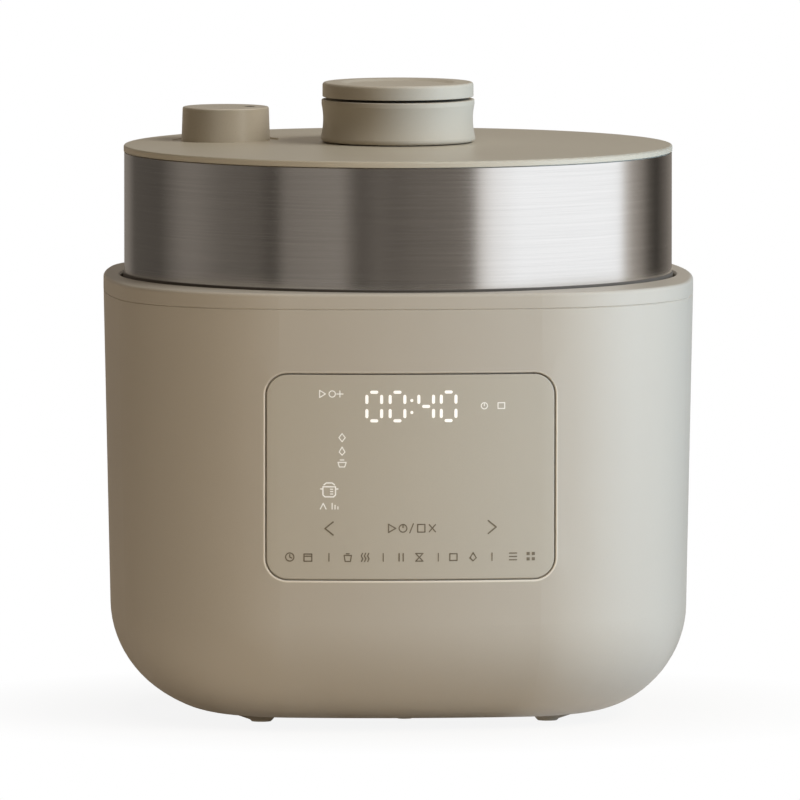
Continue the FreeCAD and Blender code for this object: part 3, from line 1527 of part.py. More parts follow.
plate = new_body("lock_plate")
sketch = new_sketch(plate, "XY_Plane", "plate_level")
circles(sketch, [("0", "0", "plate_radius"), ("0", "0", "plate_bore")])
doc.recompute()
pad(plate, sketch, "plate_gauge")
sketch = new_sketch(plate, "XY_Plane", "plate_level")
outline(sketch, sector("plate_radius - lug_root", "lug_reach", "-lug_angle / 2", "lug_angle / 2"))
doc.recompute()
lug = pad(plate, sketch, "plate_gauge")
around(plate, lug, "lug_count")
sketch = new_sketch(plate, "XY_Plane", "plate_top")
for number in range(3):
    turn = "post_start + %d" % (120 * number)
    outline(sketch, sector("post_reach - post_neck - float_slack", "post_reach + post_neck + float_slack",
                           turn + " - slot_slack", turn + " + lock_turn + slot_slack"))
outline(sketch, sector("vent_reach - pipe_radius - float_slack", "vent_reach + pipe_radius + float_slack",
                       "vent_angle - slot_slack", "vent_angle + lock_turn + slot_slack"))
outline(sketch, sector("float_reach - float_head - float_slack", "float_reach + float_head + float_slack",
                       "float_angle - slot_slack", "float_angle + lock_turn + slot_slack"))
circles(sketch, [(x, y, "shaft_screw + screw_play") for x, y in shaft_screw_spots])
doc.recompute()
pocket(plate, sketch, "plate_gauge + play")
keep(plate)

# Drive shaft: a tube with a foot flange and a window for the rocker

shaft = new_body("drive_shaft")
revolve(shaft, [
    ("plate_bore", "plate_top"), ("shaft_radius + shaft_flange", "plate_top"),
    ("shaft_radius + shaft_flange", "shaft_foot"), ("shaft_radius", "shaft_foot"),
    ("shaft_radius", "shaft_top"), ("shaft_bore", "shaft_top"), ("shaft_bore", "spring_seat"),
    ("stem_bore", "spring_seat"), ("stem_bore", "spring_seat - seat_gauge"),
    ("shaft_bore", "spring_seat - seat_gauge"), ("shaft_bore", "shaft_foot"), ("plate_bore", "shaft_foot")])
sketch = new_sketch(shaft, "XY_Plane", "rocker_level - window_under")
window_corners = [("0", "0")]
for turn in ("vent_angle - window_slack", "vent_angle + lock_turn / 2",
             "vent_angle + lock_turn + window_slack"):
    window_corners.append(("2 * shaft_radius * cos(%s)" % turn, "2 * shaft_radius * sin(%s)" % turn))
outline(sketch, window_corners)
doc.recompute()
pocket(shaft, sketch, "rocker_gauge + window_under + window_over", along=True)
sketch = new_sketch(shaft, "XY_Plane", "shaft_foot")
circles(sketch, [(x, y, "shaft_screw + screw_play") for x, y in shaft_screw_spots])
doc.recompute()
pocket(shaft, sketch, "flange_rise + play")
groove(shaft, [
    ("shaft_radius - clip_depth", "clip_level - clip_play"),
    ("shaft_radius + clip_width", "clip_level - clip_play"),
    ("shaft_radius + clip_width", "clip_level + clip_gauge + clip_play"),
    ("shaft_radius - clip_depth", "clip_level + clip_gauge + clip_play")])
keep(shaft)

shaft_screws = new_body("shaft_screws", many=True)
sketch = new_sketch(shaft_screws, "XY_Plane", "shaft_foot")
circles(sketch, [(x, y, "shaft_head") for x, y in shaft_screw_spots])
doc.recompute()
pad(shaft_screws, sketch, "shaft_head_rise")
sketch = new_sketch(shaft_screws, "XY_Plane", "shaft_foot")
circles(sketch, [(x, y, "shaft_screw") for x, y in shaft_screw_spots])
doc.recompute()
pad(shaft_screws, sketch, "plate_gauge + flange_rise", down=True)
keep(shaft_screws)

clip = new_body("shaft_clip")
sketch = new_sketch(clip, "XY_Plane", "clip_level")
circles(sketch, [
    ("0", "0", "shaft_radius + clip_width"), ("0", "0", "shaft_radius - clip_depth + clip_play")])
doc.recompute()
pad(clip, sketch, "clip_gauge")
sketch = new_sketch(clip, "XY_Plane", "clip_level + clip_gauge")
rectangle(sketch, "shaft_radius", "0", "shaft_radius", "clip_mouth")
doc.recompute()
pocket(clip, sketch, "clip_gauge + play")
keep(clip)

# Knob: a hollow drum with a faint waist, fixed on the shaft

knob = new_body("knob")
revolve(knob, [
    ("shaft_radius", "knob_foot"), ("shaft_radius + knob_boss", "knob_foot"),
    ("shaft_radius + knob_boss", "knob_top - knob_wall"), ("knob_hollow", "knob_top - knob_wall"),
    ("knob_hollow", "knob_foot"), ("knob_radius + knob_flare", "knob_foot"),
    ("knob_radius + knob_flare", "knob_foot + waist_end", "waist_radius", -1),
    ("knob_radius", "knob_top - waist_end"),
    ("knob_radius", "knob_top"), ("stem_bore", "knob_top"), ("stem_bore", "shaft_top"),
    ("shaft_radius", "shaft_top")])
ease(knob, "knob_edge", [("knob_radius", "knob_top")])
ease(knob, "knob_round", [("knob_radius + knob_flare", "knob_foot")])
keep(knob)

# Release button, its stem and its spring

button = new_body("release_button")
revolve(button, [
    ("0", "button_foot"), ("button_radius", "button_foot"), ("button_radius", "button_top"),
    ("dish_radius", "button_top"), ("dish_radius - dish_slope", "button_top - dish_depth"),
    ("0", "button_top - dish_depth")])
ease(button, "button_edge", [("button_radius", "button_top")])
ease(button, "button_bevel", [("button_radius", "button_foot")])
keep(button)

stem = new_body("button_stem")
revolve(stem, [
    ("0", "stem_tip", "tip_ball", 1),
    ("stem_radius - tip_inset", "stem_tip + tip_ball - sqrt(tip_ball^2 - (stem_radius - tip_inset)^2)"),
    ("stem_radius", "stem_tip + tip_height"), ("stem_radius", "collar_foot"),
    ("stem_radius + stem_collar", "collar_foot"), ("stem_radius + stem_collar", "collar_top"),
    ("stem_radius", "collar_top"), ("stem_radius", "button_foot"), ("0", "button_foot")])
keep(stem)

button_spring = new_body("button_spring")
revolve(button_spring, [
    ("spring_radius", "spring_seat"), ("spring_radius + spring_gauge", "spring_seat"),
    ("spring_radius + spring_gauge", "collar_foot"), ("spring_radius", "collar_foot")])
keep(button_spring)

# Check every piece, then write one file each

doc.recompute()
for thing in doc.Objects:
    if "Invalid" in thing.State or "Error" in thing.State:
        raise RuntimeError("%s did not build" % thing.Label)
for thing in finished:
    if thing.Shape.isNull() or not thing.Shape.isValid() or thing.Shape.Volume <= 0:
        raise RuntimeError("%s is not a sound shape" % thing.Label)
os.makedirs("parts", exist_ok=True)
for thing in finished:
    thing.Shape.exportStep("parts/%s.step" % thing.Label)
print("wrote", len(finished), "pieces")
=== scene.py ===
import bpy
import bmesh
import math
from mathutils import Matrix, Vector


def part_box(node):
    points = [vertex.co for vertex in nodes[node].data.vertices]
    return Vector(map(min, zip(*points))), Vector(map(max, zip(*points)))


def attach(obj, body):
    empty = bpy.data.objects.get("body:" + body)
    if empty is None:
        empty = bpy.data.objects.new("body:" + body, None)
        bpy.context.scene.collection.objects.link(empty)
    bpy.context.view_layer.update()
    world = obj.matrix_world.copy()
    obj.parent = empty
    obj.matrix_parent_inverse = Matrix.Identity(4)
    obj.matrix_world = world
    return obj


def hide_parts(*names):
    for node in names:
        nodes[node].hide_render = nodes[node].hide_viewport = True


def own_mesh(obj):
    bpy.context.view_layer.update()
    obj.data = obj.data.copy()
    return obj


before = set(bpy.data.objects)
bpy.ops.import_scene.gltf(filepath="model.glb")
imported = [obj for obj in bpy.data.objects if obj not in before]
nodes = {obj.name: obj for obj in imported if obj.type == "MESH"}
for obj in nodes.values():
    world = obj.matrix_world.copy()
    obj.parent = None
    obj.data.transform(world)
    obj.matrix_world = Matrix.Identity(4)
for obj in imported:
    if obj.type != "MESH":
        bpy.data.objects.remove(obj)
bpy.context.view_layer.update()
print("frame loaded:", len(nodes), "nodes")

fullTurn = 2 * math.pi
white = (1, 1, 1, 1)


class Wire:
    # A shader socket that takes part in sums, and the maker of any other node in its tree.

    def __init__(self, tree, socket=None):
        self.tree = tree
        self.socket = socket

    def make(self, kind, settings=None, inputs=None, out=0):
        node = self.tree.nodes.new(kind)
        for key, setting in (settings or {}).items():
            if key == "stops":
                self.setStops(node.color_ramp, setting)
            else:
                setattr(node, key, setting)
        for key, given in (inputs or {}).items():
            if isinstance(given, Wire):
                self.tree.links.new(given.socket, node.inputs[key])
            else:
                node.inputs[key].default_value = given
        return Wire(self.tree, node.outputs[out] if node.outputs else None)

    def setStops(self, ramp, stops):
        while len(ramp.elements) < len(stops):
            ramp.elements.new(0.5)  # anywhere: the next loop gives each stop its place
        for element, (place, colour) in zip(ramp.elements, stops):
            element.position = place
            element.color = colour

    def others(self, *names):
        # outputs, by name, of the node that this socket is on
        return [Wire(self.tree, self.socket.node.outputs[name]) for name in names]

    def reckon(self, operation, first, second):
        return self.make("ShaderNodeMath", {"operation": operation}, {0: first, 1: second})

    def __add__(self, other):
        return self.reckon("ADD", self, other)

    def __radd__(self, other):
        return self.reckon("ADD", other, self)

    def __sub__(self, other):
        return self.reckon("SUBTRACT", self, other)

    def __rsub__(self, other):
        return self.reckon("SUBTRACT", other, self)

    def __mul__(self, other):
        return self.reckon("MULTIPLY", self, other)

    def __rmul__(self, other):
        return self.reckon("MULTIPLY", other, self)

    def __truediv__(self, other):
        return self.reckon("DIVIDE", self, other)

    def __rtruediv__(self, other):
        return self.reckon("DIVIDE", other, self)


def plain(red, green, blue):
    # a colour as a screen gives it, from 0 to 255, made linear by the screen's own curve
    linear = []
    for part in (red, green, blue):
        share = part / 255
        linear.append(share / 12.92 if share <= 0.04045 else ((share + 0.055) / 1.055) ** 2.4)
    return (*linear, 1.0)


def darker(colour, share):
    return (colour[0] * share, colour[1] * share, colour[2] * share, 1.0)


def newTree(name):
    material = bpy.data.materials.new(name)
    material.use_nodes = True
    material.node_tree.nodes.clear()
    return material, Wire(material.node_tree)


def position(tree, stretch=(1, 1, 1), shift=(0, 0, 0)):
    # place on the object in metres, stretched for grain that runs one way and shifted off the axis
    spot = tree.make("ShaderNodeTexCoord", out="Object")
    inputs = {0: spot, 1: stretch, 2: shift}
    return tree.make("ShaderNodeVectorMath", {"operation": "MULTIPLY_ADD"}, inputs)


def split(tree, spot):
    return tree.make("ShaderNodeSeparateXYZ", inputs={0: spot}).others("X", "Y", "Z")


def noise(tree, spot, scale, detail=2.0, rough=0.5):
    inputs = {"Vector": spot, "Scale": scale, "Detail": detail, "Roughness": rough}
    return tree.make("ShaderNodeTexNoise", inputs=inputs, out="Fac")


def tint(tree, amount, first, second):
    # a colour between two, by an amount that changes over the surface
    inputs = {0: amount, 6: first, 7: second}  # 6 and 7 are the node's colour sockets
    return tree.make("ShaderNodeMix", {"data_type": "RGBA"}, inputs, out=2)


def spread(tree, amount, low, high, least=0.0, most=1.0):
    # the part of an amount from low to high, drawn out to run from least to most
    inputs = {0: amount, 1: low, 2: high, 3: least, 4: most}
    return tree.make("ShaderNodeMapRange", {"clamp": True}, inputs)


noiseBand = (0.3, 0.7)  # most of a noise lies between these


def vary(tree, wave, least=0.0, most=1.0):
    return spread(tree, wave, *noiseBand, least, most)


def roughen(tree, wave, look):
    # roughness that wavers round the look's own
    below, above = look["roughSpan"]
    return vary(tree, wave, look["rough"] - below, look["rough"] + above)


def bump(tree, height, strength, depth):
    return tree.make("ShaderNodeBump", inputs={"Height": height, "Strength": strength, "Distance": depth})


def closeTree(tree, inputs):
    surface = tree.make("ShaderNodeBsdfPrincipled", inputs=inputs)
    tree.make("ShaderNodeOutputMaterial", inputs={"Surface": surface})


# Camera: a long lens, a little above the table and a little left of the front

cameraLook = {
    "aim": (0.0, 0.0, 0.1281),
    "azimuth": -2.55,
    "height": 4.3,
    "distance": 8.83,
    "lens": 958.0,
    "sensor": 36,
    "shiftX": 0.0025,
    "farEnd": 60,
}


def makeCamera(look):
    data = bpy.data.cameras.new("photoCamera")
    camera = bpy.data.objects.new("photoCamera", data)
    bpy.context.scene.collection.objects.link(camera)
    turn = math.radians(look["azimuth"])
    lift = math.radians(look["height"])
    back = Vector((math.sin(turn) * math.cos(lift), -math.cos(turn) * math.cos(lift), math.sin(lift)))
    camera.location = Vector(look["aim"]) + back * look["distance"]
    camera.rotation_euler = (-back).to_track_quat("-Z", "Y").to_euler()
    data.lens = look["lens"]
    data.sensor_width = look["sensor"]
    data.shift_x = look["shiftX"]
    data.clip_end = look["farEnd"]
    bpy.context.scene.camera = camera


makeCamera(cameraLook)
bpy.context.scene.view_settings.view_transform = "Standard"
print("camera set")

# Studio: white surroundings, a pale floor, a round card for the steel to mirror, five soft lamps

worldLook = {"ambient": (0.09, 0.066, 0.042, 1.0)}


def seenRays(tree):
    # 1 for rays from the camera, from gloss and through clear pieces
    kinds = ("Is Camera Ray", "Is Glossy Ray", "Is Transmission Ray")
    camera, gloss, through = tree.make("ShaderNodeLightPath").others(*kinds)
    return tree.make("ShaderNodeClamp", inputs={0: camera + gloss + through})


def makeWorld(look):
    world = bpy.data.worlds.new("studioWorld")
    bpy.context.scene.world = world
    world.use_nodes = True
    world.node_tree.nodes.clear()
    tree = Wire(world.node_tree)
    soft = tree.make("ShaderNodeBackground", inputs={"Color": look["ambient"], "Strength": 1.0})
    bright = tree.make("ShaderNodeBackground", inputs={"Color": white, "Strength": 1.0})
    both = tree.make("ShaderNodeMixShader", inputs={0: seenRays(tree), 1: soft, 2: bright})
    tree.make("ShaderNodeOutputWorld", inputs={"Surface": both})


floorLook = {
    "reach": 9.0,
    "sides": 96,
    "level": -0.0004,  # just under the feet
    "colour": (0.66, 0.58, 0.48, 1.0),
    "grainScale": 900,
    "grainShade": 0.985,
    "fade": (0.11, 0.21),  # where the shaded paper starts and ends to fade into white
    "whiteNear": 0.89,  # share of white inside the fade
}


def makeFloor(look):
    mesh = bpy.data.meshes.new("studioFloor")
    shape = bmesh.new()
    bmesh.ops.create_circle(shape, cap_ends=True, segments=look["sides"], radius=look["reach"])
    shape.to_mesh(mesh)
    shape.free()
    floor = bpy.data.objects.new("studioFloor", mesh)
    floor.location.z = look["level"]
    bpy.context.scene.collection.objects.link(floor)
    material, tree = newTree("floorPaper")
    spot = position(tree)
    away = tree.make("ShaderNodeVectorMath", {"operation": "LENGTH"}, {0: spot}, out="Value")
    fade = spread(tree, away, *look["fade"], look["whiteNear"], 1.0)
    grain = noise(tree, spot, look["grainScale"], detail=3)
    colour = tint(tree, grain, darker(look["colour"], look["grainShade"]), look["colour"])
    paper = tree.make("ShaderNodeBsdfDiffuse", inputs={"Color": colour})
    bright = tree.make("ShaderNodeEmission", inputs={"Color": white, "Strength": 1.0})
    both = tree.make("ShaderNodeMixShader", inputs={0: fade * seenRays(tree), 1: paper, 2: bright})
    tree.make("ShaderNodeOutputMaterial", inputs={"Surface": both})
    mesh.materials.append(material)


cardLook = {
    "reach": 0.62,
    "sides": 180,
    "level": 0.0005,
    "top": 0.95,
    "tint": (1.0, 0.86, 0.72),
    "floor": (0.45, 0.36, 0.26, 1.0),
    "floorWall": 0.55,  # how far the floor takes the wall's light and dark
    "join": (0.001, 0.03),  # heights between which the floor's colour becomes the wall's
    "wall": [  # degrees right of the front, and how light the card is there
        (-180, 0.26), (-150, 0.19), (-140, 0.085), (-113, 0.075), (-98, 0.18), (-90, 0.185),
        (-75, 0.125), (-58, 0.10), (-53, 0.06), (-50, 0.075), (-47, 0.18), (-24, 0.225),
        (-20, 0.12), (-17, 0.075), (-10, 0.12), (-3, 0.105), (4, 0.128), (18, 0.15),
        (26, 0.18), (29, 0.66), (34, 0.92), (45, 1.06), (96, 1.06), (101, 0.58),
        (106, 0.36), (113, 0.24), (120, 0.09), (128, 0.04), (141, 0.13), (150, 0.20),
        (168, 0.27), (180, 0.27),
    ],
}


def makeCard(look):
    # a round wall and floor of card that only gloss can see, the wall lighter or darker by direction
    mesh = bpy.data.meshes.new("studioCard")
    shape = bmesh.new()
    made = bmesh.ops.create_circle(shape, cap_ends=True, segments=look["sides"], radius=look["reach"])
    edges = [edge for edge in shape.edges if edge.verts[0] in made["verts"]]
    upper = bmesh.ops.extrude_edge_only(shape, edges=edges)["geom"]
    raised = [part for part in upper if isinstance(part, bmesh.types.BMVert)]
    bmesh.ops.translate(shape, verts=raised, vec=(0, 0, look["top"]))
    shape.to_mesh(mesh)
    shape.free()
    card = bpy.data.objects.new("studioCard", mesh)
    card.location.z = look["level"]
    bpy.context.scene.collection.objects.link(card)
    material, tree = newTree("cardCloth")
    across, along, up = split(tree, tree.make("ShaderNodeNewGeometry", out="Position"))
    turn = tree.reckon("ARCTAN2", across, along * -1.0) / fullTurn + 0.5  # 0.5 is the front
    stops = []
    for degrees, light in look["wall"]:
        shade = [light * part ** (1 - light) for part in look["tint"]]
        stops.append((degrees / 360 + 0.5, (*shade, 1.0)))
    wall = tree.make("ShaderNodeValToRGB", {"stops": stops}, {0: turn})
    ground = tint(tree, look["floorWall"], look["floor"], wall)
    shade = tint(tree, spread(tree, up, *look["join"]), ground, wall)
    glow = tree.make("ShaderNodeEmission", inputs={"Color": shade, "Strength": 1.0})
    tree.make("ShaderNodeOutputMaterial", inputs={"Surface": glow})
    mesh.materials.append(material)
    card.visible_camera = False
    card.visible_diffuse = False
    card.visible_shadow = False
    card.visible_transmission = False


lampLook = {  # each lamp looks at a height on the axis, its aim
    "keyLamp": {"place": (1.58, -1.06, 1.85), "aim": 0.12, "size": (1.4, 1.1), "power": 44.0,
                "colour": (1.0, 0.985, 0.94)},
    "fillLamp": {"place": (-0.18, -0.72, 0.025), "aim": 0.1, "size": (0.8, 0.04), "power": 1.25,
                 "colour": (1.0, 0.92, 0.79)},
    "sideLamp": {"place": (0.895, -0.31, 0.265), "aim": 0.14, "size": (0.5, 0.45), "power": 7.6,
                 "colour": (0.46, 0.70, 1.0)},
    "backLamp": {"place": (-0.72, 1.08, 0.28), "aim": 0.12, "size": (0.7, 0.45), "power": 5.2,
                 "colour": (1.0, 0.88, 0.73)},
    "topLamp": {"place": (-0.15, 0.0, 1.5), "aim": 0.2, "size": (0.9, 0.9), "power": 2.0,
                "colour": (1.0, 0.95, 0.86)},
}


def makeLamp(name, look):
    data = bpy.data.lights.new(name, "AREA")
    data.shape = "RECTANGLE"
    data.size, data.size_y = look["size"]
    data.energy = look["power"]
    data.color = look["colour"]
    lamp = bpy.data.objects.new(name, data)
    lamp.location = look["place"]
    toward = Vector((0, 0, look["aim"])) - Vector(look["place"])
    lamp.rotation_euler = toward.to_track_quat("-Z", "Y").to_euler()
    lamp.visible_camera = False
    lamp.visible_glossy = False
    bpy.context.scene.collection.objects.link(lamp)


makeWorld(worldLook)
makeFloor(floorLook)
makeCard(cardLook)
for name, look in lampLook.items():
    makeLamp(name, look)
print("studio set")

# Satin plastic: the housing, the lid, the knob, the cap and the black pieces

shellLook = {
    "colour": plain(185, 176, 162),
    "cloudScale": 14,
    "cloudShade": 0.97,
    "speckScale": 1500,
    "speckShade": 0.975,
    "speckBand": (0.35, 0.75),
    "grainScale": 2600,
    "grain": 0.10,
    "grainDepth": 0.00008,
    "rough": 0.42,
    "roughSpan": (0.04, 0.05),
    "gloss": 0.65,
}
# painted highlight: a light line on the mouth of the panel's recess, kept darker along the top edge
recessHighlightLook = {
    "level": 0.1055,
    "halfWide": 0.0595,
    "halfTall": 0.0426,
    "corner": 0.0091,
    "line": (0.0, 0.0007),  # where the line starts and ends, outward from the recess
    "fadeIn": 0.00015,
    "fadeOut": 0.0003,
    "front": (-0.10, -0.09),  # the line is on the front wall alone
    "shadeDrop": 0.003,  # the top edge faces down and stays dark
    "shadeRun": 0.005,
    "shadeLeft": 0.25,
    "colour": plain(222, 213, 198),
}
# painted shade in and just round the steam hole of the cap
holeShadeLook = {
    "right": 0.010,  # from the middle of the cap
    "reach": 0.0022,
    "fade": 0.0003,
    "colour": plain(58, 50, 40),
}
bodyLook = dict(shellLook, recess=recessHighlightLook)
lidLook = dict(shellLook, colour=plain(189, 180, 162), rough=0.34, gloss=0.55)
knobLook = dict(shellLook, colour=plain(196, 187, 170), rough=0.40, gloss=0.5)
# the cap's colour is a little lighter than the knob's: painted light against the shadow the knob casts on it
capLook = dict(knobLook, colour=plain(201, 192, 175), rough=0.30, gloss=0.9, hole=holeShadeLook)
panelLook = dict(shellLook, colour=plain(186, 178, 163), rough=0.36, grain=0.05)
blackLook = dict(shellLook, colour=plain(38, 37, 36), cloudScale=40, speckScale=1800, speckShade=1.25,
                 grainScale=2200, grain=0.22, rough=0.55, gloss=0.4)
frameLook = dict(shellLook, colour=plain(92, 86, 79), rough=0.5, gloss=0.5)


def recessHighlight(tree, look):
    # painted highlight: up to 1 on the bevelled mouth of the panel's recess, 0 elsewhere: a rounded
    # rectangle on the front
    across, along, up = split(tree, tree.make("ShaderNodeTexCoord", out="Object"))
    corner = look["corner"]
    over = []
    for part, half in ((across, look["halfWide"]), (up - look["level"], look["halfTall"])):
        size = tree.reckon("ABSOLUTE", part, 0.0)
        over.append(tree.reckon("MAXIMUM", size - (half - corner), 0.0))
    outside = tree.reckon("POWER", over[0] * over[0] + over[1] * over[1], 0.5) - corner
    inner, outer = look["line"]
    starts = spread(tree, outside, inner, inner + look["fadeIn"])
    ends = spread(tree, outside, outer, outer + look["fadeOut"], 1.0, 0.0)
    front = spread(tree, along, *look["front"], 1.0, 0.0)
    shaded = look["level"] + look["halfTall"] - look["shadeDrop"]
    lit = spread(tree, up, shaded - look["shadeRun"], shaded, 1.0, look["shadeLeft"])
    return starts * ends * front * lit


def holeShade(tree, look):
    # painted shade: 1 in and just round the steam hole, 0 elsewhere
    capLow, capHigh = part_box("vent_cap")
    centre = ((capLow[0] + capHigh[0]) / 2 + look["right"], (capLow[1] + capHigh[1]) / 2, 0)
    inputs = {0: position(tree, (1, 1, 0)), 1: centre}
    away = tree.make("ShaderNodeVectorMath", {"operation": "DISTANCE"}, inputs, out="Value")
    return spread(tree, away, look["reach"], look["reach"] + look["fade"], 1.0, 0.0)


def satinPlastic(name, look):
    # moulded plastic: a fine spark-eroded grain, a faint cloud in the colour
    material, tree = newTree(name)
    spot = position(tree)
    full = look["colour"]
    cloud = noise(tree, spot, look["cloudScale"], detail=3)
    speck = noise(tree, spot, look["speckScale"], detail=1)
    grain = noise(tree, spot, look["grainScale"], detail=2, rough=0.6)
    base = tint(tree, vary(tree, cloud), darker(full, look["cloudShade"]), full)
    colour = tint(tree, spread(tree, speck, *look["speckBand"]), base, darker(full, look["speckShade"]))
    # painted highlight round the mouth of the panel's recess
    if "recess" in look:
        colour = tint(tree, recessHighlight(tree, look["recess"]), colour, look["recess"]["colour"])
    # painted shade in the steam hole
    if "hole" in look:
        colour = tint(tree, holeShade(tree, look["hole"]), colour, look["hole"]["colour"])
    closeTree(tree, {
        "Base Color": colour,
        "Roughness": roughen(tree, grain, look),
        "Normal": bump(tree, grain, look["grain"], look["grainDepth"]),
        "Specular IOR Level": look["gloss"],
    })
    return material


# Brushed steel: the band of the lid, the pot and the pressure lid

bandLook = {
    "colour": (0.855, 0.85, 0.845, 1.0),
    "stretch": (20, 20, 6500),
    "broadStretch": (10, 10, 1050),
    "shift": (0.37, 0.41, 0.0),
    "fineShare": 0.7,  # fine lines against broad ones
    "lineBand": (0.32, 0.68),
    "lineShade": 0.86,
    "grain": 0.030,
    "grainDepth": 0.00005,
    "rough": 0.20,
    "roughSpan": (0.05, 0.06),
    "stretchGloss": 0.75,
    "turnGloss": 0.25,
}
potLook = dict(bandLook, colour=(0.74, 0.735, 0.72, 1.0), stretch=(30, 30, 3200), broadStretch=(12, 12, 500),
               grain=0.10, rough=0.30, stretchGloss=0.5, turnGloss=0.0)


def brushedSteel(name, look):
    # steel brushed round the axis: long fine lines that change quickly with height
    material, tree = newTree(name)
    fine = noise(tree, position(tree, look["stretch"], look["shift"]), 1.0, detail=4, rough=0.65)
    broad = noise(tree, position(tree, look["broadStretch"], look["shift"]), 1.0)
    both = fine * look["fineShare"] + broad * (1 - look["fineShare"])
    shade = spread(tree, both, *look["lineBand"])
    closeTree(tree, {
        "Base Color": tint(tree, shade, darker(look["colour"], look["lineShade"]), look["colour"]),
        "Metallic": 1.0,
        "Roughness": roughen(tree, fine, look),
        "Anisotropic": look["stretchGloss"],
        "Anisotropic Rotation": look["turnGloss"],
        "Normal": bump(tree, fine, look["grain"], look["grainDepth"]),
    })
    return material


# Plain metal: sheet, castings, screws, pins and spring wire

sheetLook = {
    "colour": (0.62, 0.615, 0.60, 1.0),
    "cloudScale": 45,
    "cloudShade": 0.88,
    "toothScale": 1500,
    "tooth": 0.08,
    "toothDepth": 0.0001,
    "rough": 0.36,
    "roughSpan": (0.06, 0.08),
}
castLook = dict(sheetLook, colour=(0.66, 0.66, 0.655, 1.0), cloudScale=70, toothScale=2200, tooth=0.35,
                rough=0.48)
screwLook = dict(sheetLook, colour=(0.70, 0.70, 0.705, 1.0), cloudScale=300, toothScale=3000, tooth=0.06,
                 rough=0.24)
brassLook = dict(sheetLook, colour=(0.80, 0.62, 0.30, 1.0), cloudScale=220, toothScale=2500, tooth=0.06,
                 rough=0.28)
wireLook = dict(sheetLook, colour=(0.60, 0.60, 0.61, 1.0), cloudScale=260, toothScale=2600, tooth=0.05,
                rough=0.26)


def plainMetal(name, look):
    # rolled, cast or plated metal: a cloud in the colour, a little tooth in the gloss
    material, tree = newTree(name)
    spot = position(tree)
    cloud = noise(tree, spot, look["cloudScale"], detail=4)
    tooth = noise(tree, spot, look["toothScale"], detail=2, rough=0.6)
    full = look["colour"]
    closeTree(tree, {
        "Base Color": tint(tree, vary(tree, cloud), darker(full, look["cloudShade"]), full),
        "Metallic": 1.0,
        "Roughness": roughen(tree, tooth, look),
        "Normal": bump(tree, tooth, look["tooth"], look["toothDepth"]),
    })
    return material


# Rubber and silicone: the feet, the seal ring and the float's gasket

footLook = {
    "colour": plain(172, 162, 145),
    "dust": plain(180, 170, 154),
    "dustScale": 260,
    "dustBand": (0.4, 0.75),
    "grainScale": 3200,
    "grain": 0.12,
    "grainDepth": 0.0001,
    "rough": 0.66,
    "roughSpan": (0.05, 0.07),
    "gloss": 0.3,
}
sealLook = dict(footLook, colour=plain(214, 210, 203), dust=plain(200, 196, 188), rough=0.5, gloss=0.4)


def softRubber(name, look):
    material, tree = newTree(name)
    spot = position(tree)
    dust = noise(tree, spot, look["dustScale"], detail=4)
    grain = noise(tree, spot, look["grainScale"])
    closeTree(tree, {
        "Base Color": tint(tree, spread(tree, dust, *look["dustBand"]), look["colour"], look["dust"]),
        "Roughness": roughen(tree, grain, look),
        "Normal": bump(tree, grain, look["grain"], look["grainDepth"]),
        "Specular IOR Level": look["gloss"],
    })
    return material


# Circuit boards

boardLook = {
    "colour": plain(22, 82, 48),
    "light": plain(30, 96, 58),
    "track": plain(66, 128, 74),
    "trackScale": 180.0,
    "trackWidth": 0.035,
    "trackHeight": 0.15,
    "trackDepth": 0.0001,
    "cloudScale": 90,
    "cloudBand": (0.2, 0.8),
    "rough": (0.28, 0.42),
}


def circuitBoard(name, look):
    # green lacquer over copper tracks, which are the joints of a brick pattern
    material, tree = newTree(name)
    spot = position(tree)
    bricks = {"Vector": spot, "Scale": look["trackScale"], "Mortar Size": look["trackWidth"]}
    track = tree.make("ShaderNodeTexBrick", {"offset": 0.5}, bricks, out="Fac")
    cloud = noise(tree, spot, look["cloudScale"], detail=3)
    base = tint(tree, cloud, look["colour"], look["light"])
    closeTree(tree, {
        "Base Color": tint(tree, track, base, look["track"]),
        "Roughness": spread(tree, cloud, *look["cloudBand"], *look["rough"]),
        "Normal": bump(tree, track, look["trackHeight"], look["trackDepth"]),
    })
    return material


# Clear plastic: the light guide

clearLook = {
    "colour": (0.86, 0.86, 0.83, 1.0),
    "haze": (0.93, 0.93, 0.91, 1.0),
    "hazeScale": 140,
    "hazeBand": (0.2, 0.8),
    "rough": (0.16, 0.30),
    "through": 0.6,
    "bend": 1.49,
}


def clearPlastic(name, look):
    material, tree = newTree(name)
    haze = noise(tree, position(tree), look["hazeScale"], detail=3)
    closeTree(tree, {
        "Base Color": tint(tree, haze, look["colour"], look["haze"]),
        "Roughness": spread(tree, haze, *look["hazeBand"], *look["rough"]),
        "Transmission Weight": look["through"],
        "IOR": look["bend"],
    })
    return material


# Finishes: one for each node

